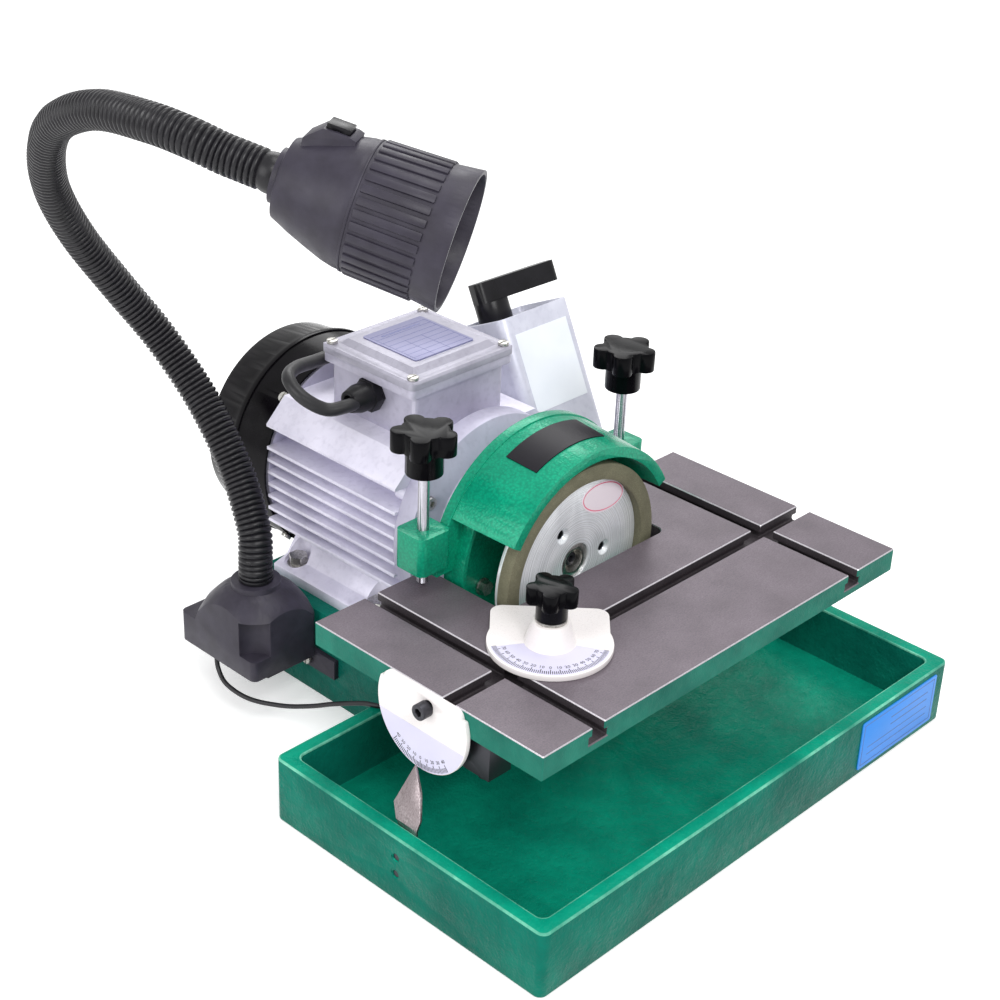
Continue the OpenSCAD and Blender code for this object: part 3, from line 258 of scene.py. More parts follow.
@dataclass(frozen=True)
class CastEnamel(Finish):
    """Alkyd enamel brushed over a sand casting: glossy, saturated, with the mould's lumps under it.

    Attributes:
        lump: Width of the casting's swells.
        grit: Width of the sand's print.
        depth: Depth of that print.
        rough: The enamel's roughness.
    """

    lump: float = 9 * MM
    grit: float = 2.4 * MM
    depth: float = 0.45 * MM
    rough: float = 0.3

    def surface(self, tree: Tree, where: Socket) -> Sockets:
        """Blotchy colour, lumpy skin and a wet gloss; see Finish.surface."""
        blotch = self.patches(tree, where, 45 * MM, 4)
        streak = self.patches(tree, where, self.lump, 5, (0.4, 0.75), (0, 0.4))
        gloss = self.patches(tree, where, 6 * MM, 3, (0.3, 0.7), (self.rough - 0.06, self.rough + 0.14))
        swell = self.patches(tree, where, self.lump, 2, (0.2, 0.8))
        sand = self.patches(tree, where, self.grit, 2, (0.3, 0.75))
        return {"Base Color": self.mottle(tree, blotch, streak), "Roughness": gloss,
                "Specular IOR Level": 0.06,
                "Normal": self.relief(tree, (swell, self.depth * 3, 0.45), (sand, self.depth, 0.5))}


@dataclass(frozen=True)
class Hammertone(Finish):
    """Hammer-finish paint: a green film with aluminium flake, drawn into shallow cells as it dries.

    Attributes:
        cell: Width of a cell.
    """

    cell: float = 1.8 * MM

    def surface(self, tree: Tree, where: Socket) -> Sockets:
        """Bright cells with darker rims under a clear gloss; see Finish.surface."""
        drift = add(tree, "TexNoise", {"Vector": where, "Scale": 1 / (6 * MM)}, out="Color")
        bent = add(tree, "VectorMath", {0: drift, 1: (3 * MM, 3 * MM, 3 * MM), 2: where},
                   operation="MULTIPLY_ADD")
        cells = add(tree, "TexVoronoi", {"Vector": bent, "Scale": 1 / self.cell, "Smoothness": 0.5},
                    feature="SMOOTH_F1")
        rim = add(tree, "MapRange", {0: cells, 1: 0.2, 2: 0.75, 3: 0.0, 4: 0.5})
        soft = self.patches(tree, where, 35 * MM, 3, to=(0, 0.35))
        return {"Base Color": self.mottle(tree, rim, soft), "Roughness": 0.26, "Metallic": 0.15,
                "Specular IOR Level": 0.2, "Coat Weight": 0.08, "Coat Roughness": 0.08,
                "Normal": self.relief(tree, (rim, 0.3 * MM, 0.55))}


@dataclass(frozen=True)
class GroundIron(Finish):
    """Grey iron, surface-ground and oiled: a warm grey grain with a dull sheen.

    Attributes:
        rough: Its roughness.
        metal: How much of it shines as metal.
    """

    rough: float = 0.5
    metal: float = 0.35

    def surface(self, tree: Tree, where: Socket) -> Sockets:
        """Mottled grey, fine grain and faint grinding scuffs; see Finish.surface."""
        cloud = self.patches(tree, where, 30 * MM, 6, (0.3, 0.72), (0, 0.6))
        # Real grains are a few tenths of a millimetre, drawn at about 1 mm so that they show
        grain = self.patches(tree, where, 1.1 * MM, 4, (0.3, 0.72), (0, 0.75))
        scuff = self.patches(tree, where, 3 * MM, 4, (0.35, 0.7), (self.rough - 0.08, self.rough + 0.1),
                             (1, 6, 1))
        return {"Base Color": self.mottle(tree, cloud, grain), "Roughness": scuff, "Metallic": self.metal,
                "Normal": self.relief(tree, (grain, 0.05 * MM, 0.6))}


@dataclass(frozen=True)
class BrushedMetal(Finish):
    """Bare or plated steel, with fine marks along one way.

    Attributes:
        stretch: Scale along each axis; a small one draws the marks out that way.
        mark: Width of a mark, drawn coarser than a real one so that it shows.
        rough: Its roughness.
    """

    stretch: Triple = (1, 1, 12)
    mark: float = 0.8 * MM
    rough: float = 0.3

    def surface(self, tree: Tree, where: Socket) -> Sockets:
        """Streaks in colour and gloss; see Finish.surface."""
        streak = self.patches(tree, where, self.mark, 4, (0.3, 0.75), stretch=self.stretch)
        gloss = self.patches(tree, where, self.mark, 4, (0.2, 0.8), (self.rough - 0.08, self.rough + 0.12),
                             self.stretch)
        return {"Base Color": self.mottle(tree, streak), "Roughness": gloss, "Metallic": 1.0,
                "Normal": self.relief(tree, (streak, 0.02 * MM, 0.4))}


@dataclass(frozen=True)
class TurnedAluminium(Finish):
    """Aluminium faced on a lathe: fine rings about the spindle and a polished sheen.

    Attributes:
        ring: Pitch of the rings, about four times the real feed so that they show.
    """

    ring: float = 1.1 * MM

    def surface(self, tree: Tree, where: Socket) -> Sockets:
        """Rings in colour, gloss and height; see Finish.surface."""
        centred = add(tree, "VectorMath", {0: where, 1: (1, 0, 1), 2: (0, 0, -SPINDLE_Z)},
                      operation="MULTIPLY_ADD")
        radius = add(tree, "VectorMath", {0: centred}, out="Value", operation="LENGTH")
        rings = add(tree, "TexNoise", {"W": radius, "Scale": 1 / self.ring, "Detail": 3},
                    noise_dimensions="1D")
        line = add(tree, "MapRange", {0: rings, 1: 0.3, 2: 0.7, 3: 0.0, 4: 0.16})
        gloss = add(tree, "MapRange", {0: rings, 1: 0.2, 2: 0.8, 3: 0.2, 4: 0.34})
        cloud = self.patches(tree, where, 20 * MM, 3, to=(0, 0.25))
        return {"Base Color": self.mottle(tree, line, cloud), "Roughness": gloss, "Metallic": 0.3,
                "Normal": self.relief(tree, (rings, 0.01 * MM, 0.12))}


@dataclass(frozen=True)
class SilverPaint(Finish):
    """Aluminium-flake paint on die castings and sheet: pale, slightly lilac, with a soft sheen."""

    def surface(self, tree: Tree, where: Socket) -> Sockets:
        """Cloudy pale grey over a fine casting skin; see Finish.surface."""
        cloud = self.patches(tree, where, 30 * MM, 4, to=(0, 0.5))
        dirt = self.patches(tree, where, 5 * MM, 5, (0.5, 0.8), (0, 0.5))
        flake = self.patches(tree, where, 0.7 * MM, 2, (0.3, 0.7), (0.32, 0.46))
        skin = self.patches(tree, where, 2.4 * MM, 3, (0.2, 0.8))
        return {"Base Color": self.mottle(tree, cloud, dirt), "Roughness": flake, "Metallic": 0.15,
                "Normal": self.relief(tree, (skin, 0.12 * MM, 0.4))}


@dataclass(frozen=True)
class MouldedPlastic(Finish):
    """Moulded plastic, from polished phenolic to spark-eroded ABS by its roughness and grain.

    Attributes:
        rough: Its roughness.
        grain: Width of the mould's grain.
        depth: Depth of that grain.
        gloss: The level of its plain reflection.
    """

    rough: float = 0.25
    grain: float = 0.6 * MM
    depth: float = 0.02 * MM
    gloss: float = 0.4

    def surface(self, tree: Tree, where: Socket) -> Sockets:
        """A fine moulding grain and slight handling marks; see Finish.surface."""
        hands = self.patches(tree, where, 14 * MM, 4, (0.35, 0.75))
        rough = self.patches(tree, where, 9 * MM, 4, (0.3, 0.75), (self.rough - 0.05, self.rough + 0.08))
        grain = self.patches(tree, where, self.grain, 2, (0.2, 0.8))
        return {"Base Color": self.mottle(tree, hands), "Roughness": rough, "Specular IOR Level": self.gloss,
                "Normal": self.relief(tree, (grain, self.depth, 0.6))}


@dataclass(frozen=True)
class Abrasive(Finish):
    """Resin-bonded grit: a matt olive crust."""

    def surface(self, tree: Tree, where: Socket) -> Sockets:
        """Grains a little over half a millimetre wide, the coarsest of their kind; see Finish.surface."""
        cells = add(tree, "TexVoronoi", {"Vector": where, "Scale": 1 / (0.6 * MM)})
        grain = add(tree, "MapRange", {0: cells, 1: 0.1, 2: 0.6, 3: 0.0, 4: 0.7})
        cloud = self.patches(tree, where, 9 * MM, 4, to=(0, 0.5))
        return {"Base Color": self.mottle(tree, grain, cloud), "Roughness": 0.8,
                "Normal": self.relief(tree, (grain, 0.12 * MM, 0.8))}


@dataclass(frozen=True)
class PrintedPlate(Finish):
    """Ink or enamel printed on thin sheet, even and lightly glossy.

    Attributes:
        rough: Its roughness.
        metal: How much of it shines as metal.
        gloss: The level of its plain reflection.
    """

    rough: float = 0.35
    metal: float = 0.0
    gloss: float = 0.5

    def surface(self, tree: Tree, where: Socket) -> Sockets:
        """An even film that yellows a little in patches, with a very fine tooth; see Finish.surface."""
        cloud = self.patches(tree, where, 30 * MM, 3, (0.3, 0.8), (0, 0.5))
        tooth = self.patches(tree, where, 0.8 * MM, 3, (0.2, 0.8), (self.rough - 0.05, self.rough + 0.08))
        return {"Base Color": self.mottle(tree, cloud), "Roughness": tooth, "Metallic": self.metal,
                "Specular IOR Level": self.gloss}


@dataclass(frozen=True)
class OpalGlass(Finish):
    """Blown glass with a frosted inside, as on a lamp bulb."""

    def surface(self, tree: Tree, where: Socket) -> Sockets:
        """Milky white under a clear gloss; see Finish.surface."""
        frost = self.patches(tree, where, 4 * MM, 2, (0.3, 0.7), (0, 0.4))
        return {"Base Color": self.mottle(tree, frost), "Roughness": 0.15, "Subsurface Weight": 0.3,
                "Subsurface Radius": (0.01, 0.01, 0.01), "IOR": 1.5, "Coat Weight": 0.4}


# Greens: deep wet enamel over lumpy iron, brighter on the tray's floor as painted light, with a painted
# highlight along the tray's rim, and hammered on the guard
TRAY_GREEN = CastEnamel("tray_enamel", "#0B7462", "#075B4E")
# The floor's brighter green is painted light: the same enamel as the walls, lit more strongly from above
TRAY_FLOOR_LIT_GREEN = CastEnamel("tray_floor_painted_light_enamel", "#0A9C7E", "#077A64")
# A pale green on the rounded rim edges: a painted highlight where the rim's lumps catch the light
RIM_HIGHLIGHT_GREEN = CastEnamel("rim_painted_highlight_enamel", "#7CCFB2", "#0C7864", lump=5 * MM, grit=1.2 * MM)
PEDESTAL_GREEN = CastEnamel("pedestal_enamel", "#0F6F60", "#0A5248", grit=1.6 * MM, depth=0.3 * MM)
TABLE_SIDE_GREEN = CastEnamel("table_side_enamel", "#2A7A69", "#1A5D51", grit=1.4 * MM, depth=0.2 * MM,
                              rough=0.4)
GUARD_GREEN = Hammertone("guard_hammertone", "#0BA07A", "#066A54")
# Irons: a warm dull grain on top, bright lines along the edges that are bare metal with a painted highlight,
# and near-black in the slots
TABLE_IRON = GroundIron("ground_table_iron", "#776D76", "#544D53")
# The ground chamfers are bare metal drawn far brighter than the top: partly their own metal, partly a painted
# highlight
EDGE_GLINT_METAL = BrushedMetal("ground_edge_painted_highlight", "#E2DEE4", "#A9A5AC", stretch=(1, 1, 1), rough=0.3)
SLOT_IRON = GroundIron("dark_slot_iron", "#4B4449", "#2B262A", rough=0.6, metal=0.2)
# Silvers: pale lilac-grey castings, each a step darker than the one before, the lid's grey darkened further
# as painted shade
MOTOR_SILVER = SilverPaint("motor_silver_paint", "#E6E3F3", "#BDBACD")
# The lid's greyer silver is painted shade: the same paint, darker where its top face catches less light
LID_SHADE_SILVER = SilverPaint("lid_silver_painted_shade", "#A9A7B5", "#84828F")
SHIELD_SILVER = SilverPaint("shield_silver_paint", "#BFBCD0", "#9C99AD")
BOX_SILVER = SilverPaint("box_silver_paint", "#BDBACB", "#9390A2")
SWITCH_SILVER = SilverPaint("switch_silver_paint", "#D2D3E0", "#AEAFC0")
# Bare metals: small crisp glints on screws, shafts and the wheel's turned face
ZINC = BrushedMetal("zinc_plate", "#D3D1CC", "#8E8D88", stretch=(1, 1, 1), mark=1.5 * MM)
SCREW_STEEL = BrushedMetal("screw_steel", "#C9C8D0", "#8A8990", stretch=(1, 1, 14), mark=1.2 * MM, rough=0.26)
STAINLESS = BrushedMetal("brushed_stainless", "#A2989A", "#6F6567", stretch=(1, 1, 0.1), mark=0.7 * MM)
BLACK_OXIDE = BrushedMetal("black_oxide", "#1D1C20", "#0E0D10", stretch=(1, 1, 1), rough=0.3)
# The wheel's holes: a darker metal as painted shade in the recesses
HOLE_SHADE_METAL = BrushedMetal("hole_painted_shade_metal", "#8D949B", "#2C2F33", stretch=(1, 1, 1), rough=0.32)
WHEEL_ALUMINIUM = TurnedAluminium("turned_aluminium", "#F0F3F6", "#B6BDC5")
WHEEL_GRIT = Abrasive("wheel_grit", "#85826A", "#5C5A47")
# Blacks: mirror-like knobs, satin handles, a grained violet-black lamp and glossy sheet
KNOB_BLACK = MouldedPlastic("polished_phenolic", "#0B0B0E", "#050507", rough=0.17, depth=0.006 * MM,
                            gloss=0.06)
HANDLE_BLACK = MouldedPlastic("handle_plastic", "#17161A", "#0B0B0D", rough=0.3, gloss=0.2)
LAMP_BLACK = MouldedPlastic("lamp_plastic", "#35323D", "#29262F", rough=0.42, gloss=0.25, grain=0.7 * MM,
                           depth=0.03 * MM)
HOSE_BLACK = MouldedPlastic("hose_plastic", "#1B1A1E", "#111014", rough=0.32, gloss=0.3)
COVER_BLACK = MouldedPlastic("fan_cover_enamel", "#0E0C10", "#070608", rough=0.16, gloss=0.12)
RUBBER = MouldedPlastic("lead_rubber", "#1D1C20", "#121214", rough=0.42)
# Prints: flat even films with thin rules and ticks
PLATE_BLUE = PrintedPlate("rating_plate_blue", "#2F8CE6", "#2A7CD2", rough=0.35, gloss=0.2)
PLATE_RULE = PrintedPlate("rating_plate_rule", "#1C4F9C", "#1A4688", rough=0.3)
PLATE_PALE = PrintedPlate("nameplate_film", "#7E7EA2", "#6E6E94", metal=0.15)
PLATE_INK = PrintedPlate("nameplate_ink", "#4A4F86", "#40457A")
BADGE_DARK = PrintedPlate("badge_ink", "#1C1A20", "#100F13", rough=0.36, gloss=0.15)
LABEL_WHITE = PrintedPlate("switch_label_film", "#EEF2F8", "#DDE3EE")
SCALE_WHITE = PrintedPlate("scale_enamel", "#EDE8E7", "#E2DCDD", rough=0.28, gloss=0.25)
SCALE_LILAC = PrintedPlate("scale_label_film", "#D5D2E8", "#C6C3DE")
SCALE_INK = PrintedPlate("scale_ink", "#25242E", "#1A1922")
STICKER_WHITE = PrintedPlate("sticker_paper", "#F4E9F0", "#EADDE8")
STICKER_PINK = PrintedPlate("sticker_ink", "#E8688A", "#D85C7E")
VARNISH = GroundIron("varnished_windings", "#7A4A34", "#4E2C20")
LAMINATIONS = GroundIron("rotor_laminations", "#6F7074", "#4A4B4E")
BULB = OpalGlass("opal_bulb", "#F4F2EA", "#E2DFD2")


# ---- modelling helpers


def put(name: str, data: bpy.types.ID) -> Piece:
    """Puts a new object into the scene.

    Args:
        name: Its name.
        data: Its mesh, curve, camera or lamp.

    Returns:
        The object.
    """
    piece = bpy.data.objects.new(name, data)
    bpy.context.scene.collection.objects.link(piece)
    return piece


def deselect_all() -> None:
    """Leaves nothing selected, since operators act on all that is."""
    if bpy.context.mode != "OBJECT":
        bpy.ops.object.mode_set(mode="OBJECT")
    bpy.ops.object.select_all(action="DESELECT")


def make_active(piece: Piece) -> None:
    """Selects one piece alone and makes it the active one."""
    deselect_all()
    piece.select_set(True)
    bpy.context.view_layer.objects.active = piece


def settle(piece: Piece, place: Matrix | None = None) -> None:
    """Moves a piece to its place and leaves its object at the origin, unturned.

    Args:
        piece: The piece.
        place: Where its own frame goes.
    """
    make_active(piece)
    if place is not None:
        piece.matrix_world = place @ piece.matrix_world
        bpy.context.view_layer.update()
    bpy.ops.object.transform_apply(location=True, rotation=True, scale=True)


def join_all(pieces: Sequence[Piece], name: str) -> Piece:
    """Joins pieces into one.

    Args:
        pieces: The pieces, of which the first one keeps its frame.
        name: The joined piece's name.

    Returns:
        The joined piece.
    """
    make_active(pieces[0])
    for piece in pieces:
        piece.select_set(True)
    if len(pieces) > 1:
        bpy.ops.object.join()
    joined = bpy.context.object
    joined.name = name
    return joined


def spread(piece: Piece, places: Sequence[Matrix], name: str) -> Piece:
    """Copies one piece to many places, each copy with its own mesh, and joins them.

    Args:
        piece: The model, which is used up.
        places: Where each copy goes.
        name: The joined piece's name.

    Returns:
        The joined piece.
    """
    copies = []
    for place in places:
        copies.append(put(name, piece.data.copy()))
        copies[-1].data.transform(place)
    bpy.data.objects.remove(piece)
    return join_all(copies, name)


@contextmanager
def editing(piece: Piece, wanted: FaceTest) -> Iterator[None]:
    """Opens a piece for editing with only the wanted faces selected, and closes it afterwards.

    Args:
        piece: The piece.
        wanted: Says whether a face is wanted.

    Yields:
        Nothing; mesh operators work on the faces while it is open.
    """
    make_active(piece)
    bpy.ops.object.mode_set(mode="EDIT")
    bpy.ops.mesh.select_mode(type="FACE")
    bpy.ops.mesh.select_all(action="DESELECT")
    bpy.ops.object.mode_set(mode="OBJECT")
    for face in piece.data.polygons:
        face.select = wanted(face)
    bpy.ops.object.mode_set(mode="EDIT")
    yield
    bpy.ops.object.mode_set(mode="OBJECT")


def block(size: Sequence[float], centre: Sequence[float], rounding: float = 0.0) -> Piece:
    """Adds a block with rounded edges.

    Args:
        size: Its three sides, in metres.
        centre: Its middle.
        rounding: How wide its rounded edges are.

    Returns:
        The block.
    """
    deselect_all()
    bpy.ops.mesh.primitive_cube_add(size=1, location=tuple(centre))
    piece = bpy.context.object
    piece.scale = tuple(size)
    settle(piece)
    finish_edges(piece, rounding)
    return piece


def rule_form(bars: Sequence[tuple[Pair, Pair]], middle: Sequence[float], up: Vector, name: str) -> Piece:
    """Rules thin flat bars on a plate, like a form with nothing filled in.

    Args:
        bars: Each bar's width and height, and its middle to the right of and above the plate's.
        middle: The plate's middle.
        up: The way that is up on the plate; right is X.
        name: The joined bars' name.

    Returns:
        The bars, joined.
    """
    right = Vector((1, 0, 0))
    thin = Vector((1, 1, 1)) - right - up
    return join_all([block(right * w + up * h + thin * 0.1 * MM, Vector(middle) + right * x + up * y)
                     for (w, h), (x, y) in bars], name)


def finish_edges(piece: Piece, width: float, segments: int = 2, clamp: bool = True) -> None:
    """Rounds a piece's hard edges and shades it by angle.

    Args:
        piece: The piece to finish.
        width: How wide the rounded edges are, in metres.
        segments: How many faces each rounded edge gets.
        clamp: Whether short edges hold the width down.
    """
    make_active(piece)
    if width > 0:
        bevel = piece.modifiers.new("rounded", "BEVEL")
        bevel.width, bevel.segments = width, segments
        bevel.limit_method, bevel.angle_limit = "ANGLE", math.radians(Shading.ROUNDED.value)
        bevel.use_clamp_overlap = clamp
        bpy.ops.object.modifier_apply(modifier=bevel.name)
    bpy.ops.object.shade_smooth_by_angle(angle=math.radians(Shading.MACHINED.value))


def refine(node: str, name: str, width: float, segments: int = 2, clamp: bool = True) -> Piece:
    """Copies a CAD node, merges its loose triangles and rounds its hard edges.

    Args:
        node: The CAD node that the copy stands for.
        name: The new piece's name.
        width: How wide the rounded edges are, in metres.
        segments: How many faces each rounded edge gets.
        clamp: Whether short edges hold the width down.

    Returns:
        The new piece, standing for the node.
    """
    piece = put(name, frame["nodes"][node].data.copy())
    make_active(piece)
    bpy.ops.object.mode_set(mode="EDIT")
    bpy.ops.mesh.select_all(action="SELECT")
    bpy.ops.mesh.remove_doubles(threshold=1e-5)
    bpy.ops.mesh.dissolve_limited(angle_limit=math.radians(0.6), delimit={"NORMAL"})
    bpy.ops.object.mode_set(mode="OBJECT")
    finish_edges(piece, width, segments, clamp)
    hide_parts(node)
    return piece


def dress(piece: Piece, finish: Finish, body: str) -> Piece:
    """Gives a piece its finish and the body that it rides on, and reports it.

    Args:
        piece: The piece to dress.
        finish: Its finish.
        body: The CAD body that it moves with.

    Returns:
        The piece.
    """
    piece.data.materials.clear()
    piece.data.materials.append(finish.material())
    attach(piece, body)
    log.info("%s: %d faces in %s on %s", piece.name, len(piece.data.polygons), finish.name, body)
    return piece


def recoat_faces(piece: Piece, finish: Finish,
                 wanted: FaceTest) -> None:
    """Gives some of a piece's faces a finish of their own.

    Args:
        piece: The piece, dressed already.
        finish: The other finish.
        wanted: Says whether a face gets it.
    """
    piece.data.materials.append(finish.material())
    slot = len(piece.data.materials) - 1
    for face in piece.data.polygons:
        if wanted(face):
            face.material_index = slot


def smooth_line(knots: Sequence[Vector], steps: int = 16) -> list[Vector]:
    """Draws one smooth line through all of its knots.

    Args:
        knots: The points that it goes through.
        steps: How many points it gets between two knots.

    Returns:
        The line's points.
    """
    line = []
    for index in range(len(knots) - 1):
        a, b = knots[max(index - 1, 0)], knots[index]
        c, d = knots[index + 1], knots[min(index + 2, len(knots) - 1)]
        for step in range(steps):
            t = step / steps
            line.append(0.5 * (2 * b + (c - a) * t + (2 * a - 5 * b + 4 * c - d) * t * t
                               + (3 * b - a - 3 * c + d) * t ** 3))
    return [*line, knots[-1]]


def line_length(line: Sequence[Vector]) -> float:
    """Adds up a line's steps."""
    return sum((there - here).length for here, there in zip(line, line[1:]))


def even_line(line: Sequence[Vector], steps: int) -> list[Vector]:
    """Walks a line in even steps.

    Args:
        line: Its points.
        steps: How many steps to take.

    Returns:
        The steps' ends, one more than the steps.
    """
    reach = [0.0]
    for here, there in zip(line, line[1:]):
        reach.append(reach[-1] + (there - here).length)
    points, at = [], 0
    for step in range(steps + 1):
        goal = reach[-1] * step / steps
        while at < len(line) - 2 and reach[at + 1] < goal:
            at += 1
        points.append(line[at].lerp(line[at + 1], (goal - reach[at]) / (reach[at + 1] - reach[at])))
    return points


def tube(points: Sequence[Vector], radii: Sequence[float], name: str, roundness: int) -> Piece:
    """Draws a round tube along a line, with a radius of its own at each point.

    Args:
        points: The middle line.
        radii: The radius at each point.
        name: The tube's name.
        roundness: The curve's bevel resolution.

    Returns:
        The tube, as a closed mesh.
    """
    data = bpy.data.curves.new(name, "CURVE")
    data.dimensions, data.bevel_depth, data.bevel_resolution = "3D", 1.0, roundness
    data.use_fill_caps = True
    line = data.splines.new("POLY")
    line.points.add(len(points) - 1)
    for knot, point, radius in zip(line.points, points, radii):
        knot.co, knot.radius = (*point, 1), radius
    piece = put(name, data)
    make_active(piece)
    bpy.ops.object.convert(target="MESH")
    piece = bpy.context.object
    bpy.ops.object.shade_smooth_by_angle(angle=math.radians(Shading.MOULDED.value))
    return piece


# ---- stage


@dataclass
class Stage:
    """The camera, the lamps, the pale floor and the world.

    Attributes:
        camera_at: Where the camera stands.
        camera_right: The way that its right side points.
        camera_back: The way that its back points.
        lens: Its focal length in millimetres, over a sensor 36 mm wide.
        lamps: Each lamp's name, place, side and watts.
        aim: The point on the machine that every lamp faces.
        ambient: The world's strength for rays that light the machine.
        paper: How much the floor glows for rays that see it.
        floor_side: The floor's side.
        floor_z: Its height, just under the machine.
    """

    camera_at: Sequence[float] = (-0.88280, -0.69277, 0.81533)
    camera_right: Sequence[float] = (0.695959, -0.717187, 0.035830)
    camera_back: Sequence[float] = (-0.642887, -0.600077, 0.476029)
    lens: float = 69.1
    lamps: tuple[tuple[str, Triple, float, float], ...] = (
        ("key_lamp", (-0.9, -1.35, 1.8), 1.0, 28), ("fill_lamp", (-1.8, 0.3, 1.0), 1.2, 13),
        ("rim_lamp", (1.2, 1.4, 1.6), 1.0, 12), ("top_lamp", (0.3, -0.1, 2.0), 0.9, 12))
    aim: Triple = (0, 0.05, 0.15)
    ambient: float = 0.58
    paper: float = 0.34
    floor_side: float = 12.0
    floor_z: float = -0.5 * MM

    def camera(self) -> None:
        """Stands the camera where it looks down on the machine from the front left."""
        data = bpy.data.cameras.new("camera")
        data.lens, data.sensor_width = self.lens, 36.0
        data.clip_start, data.clip_end = 0.05, 20
        eye = put("camera", data)
        back = Vector(self.camera_back).normalized()
        up = back.cross(Vector(self.camera_right)).normalized()
        right = up.cross(back)
        eye.matrix_world = Matrix((right, up, back)).transposed().to_4x4()
        eye.location = Vector(self.camera_at)
        bpy.context.scene.camera = eye

    def lamp(self, name: str, place: Sequence[float], size: float, watts: float) -> None:
        """Adds one soft lamp aimed at the machine.

        Args:
            name: The lamp's name.
            place: Where it hangs, in metres.
            size: The side of its square face, in metres.
            watts: Its power.
        """
        data = bpy.data.lights.new(name, "AREA")
        data.size, data.energy = size, watts
        lamp = put(name, data)
        lamp.location = Vector(place)
        lamp.rotation_euler = (Vector(self.aim) - lamp.location).to_track_quat("-Z", "Y").to_euler()

    def light(self) -> None:
        """Hangs the soft lamps and sets a world that is white to the camera, metal and glass."""
        for lamp in self.lamps:
            self.lamp(*lamp)
        world = bpy.data.worlds.new("studio")
        bpy.context.scene.world = world
        world.use_nodes = True
        tree = world.node_tree
        tree.nodes.clear()
        level = add(tree, "MapRange", {0: self.direct_rays(tree), 3: self.ambient, 4: 1.0})
        add(tree, "OutputWorld", {0: add(tree, "Background", {"Color": (1, 1, 1, 1), "Strength": level})})

    def direct_rays(self, tree: Tree) -> Socket:
        """Tells the rays that see the background as it is.

        Args:
            tree: The node tree.

        Returns:
            1 for camera, gloss and glass rays, and 0 for the rest.
        """
        path = add(tree, "LightPath").node
        seen = add(tree, "Math", {0: path.outputs["Is Camera Ray"], 1: path.outputs["Is Glossy Ray"]},
                   operation="MAXIMUM")
        return add(tree, "Math", {0: seen, 1: path.outputs["Is Transmission Ray"]}, operation="MAXIMUM")

    def floor(self) -> None:
        """Lays a pale floor that shows white and keeps the machine's shadow."""
        deselect_all()
        bpy.ops.mesh.primitive_plane_add(size=self.floor_side, location=(0, 0, self.floor_z))
        floor = bpy.context.object
        floor.name = "floor"
        material = bpy.data.materials.new("floor_white")
        material.use_nodes = True
        tree = material.node_tree
        tree.nodes.clear()
        paint = add(tree, "BsdfDiffuse", {"Color": (0.92, 0.92, 0.92, 1)})
        glow = add(tree, "Emission", {"Color": (1, 1, 1, 1), "Strength": self.paper})
        both = add(tree, "AddShader", {0: paint, 1: glow})
        shown = add(tree, "MixShader", {0: self.direct_rays(tree), 1: paint, 2: both})
        add(tree, "OutputMaterial", {0: shown})
        floor.data.materials.append(material)

    def build(self) -> None:
        """Sets the whole stage."""
        self.camera()
        self.light()
        self.floor()
        bpy.context.scene.view_settings.view_transform = "Standard"


# ---- sub-assemblies


@dataclass
class Castings:
    """Tray, pedestal, switch bracket and guard, with the tray's plate and the guard's badge.

    Attributes:
        worn: How far down from the tray's rim its rounded edges carry the painted highlight.
        worn_lean: Least and greatest Z of the normal of a rounded rim edge that carries the painted
            highlight.
        floor_lean: Least Z of a floor face's normal.
        rule: Width of a rule on the plate.
        inset: From the plate's edge to the rules' frame.
    """

    worn: float = 3 * MM
    worn_lean: Pair = (0.2, 0.97)
    floor_lean: float = 0.7
    rule: float = 0.7 * MM
    inset: float = 3 * MM

    def build(self) -> None:
        """Rounds and paints each casting and rules the plate."""
        tray = dress(refine("drip_tray", "tray_casting", 1.3 * MM, 2, clamp=False), TRAY_GREEN, "machine")
        # Faces that look up get the floor's brighter green: painted light falling on the floor
        recoat_faces(tray, TRAY_FLOOR_LIT_GREEN, lambda f: f.normal.z > self.floor_lean)
        # Rounded edges near the rim get the paler green: a painted highlight along the rim
        least, most = self.worn_lean
        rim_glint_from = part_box("drip_tray")[1].z - self.worn
        recoat_faces(tray, RIM_HIGHLIGHT_GREEN, lambda f: least < f.normal.z < most and f.center.z > rim_glint_from)
        for node, name, width, segments, finish in (
                ("motor_pedestal", "pedestal_casting", 1.2, 2, PEDESTAL_GREEN),
                ("wheel_guard", "guard_casting", 1.3, 3, GUARD_GREEN),
                ("switch_bracket", "bracket_plate", 0.5, 2, PEDESTAL_GREEN),
                ("rating_plate", "tray_plate", 0.1, 2, PLATE_BLUE),
                ("guard_badge", "badge_plate", 0.0, 2, BADGE_DARK)):
            dress(refine(node, name, width * MM, segments), finish, "machine")
        self.plate_rules()

    def plate_rules(self) -> None:
        """Rules the bare plate with a frame and a few blank lines."""
        low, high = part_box("rating_plate")
        middle = ((low.x + high.x) / 2, low.y, (low.z + high.z) / 2)
        wide = high.x - low.x
        across, up = wide / 2 - self.inset, (high.z - low.z) / 2 - self.inset
        bars = [((2 * across, self.rule), (0, side * up)) for side in (1, -1)]
        bars += [((self.rule, 2 * up), (side * across, 0)) for side in (1, -1)]
        headings = [((wide * 0.5, self.rule * 1.3), (wide * 0.14, z * MM)) for z in (9, 3)]
        entries = [((wide * 0.8, self.rule), (0, z * MM)) for z in (-4, -10)]
        lines = rule_form(bars + headings + entries, middle, Vector((0, 0, 1)), "plate_rules")
        dress(lines, PLATE_RULE, "machine")


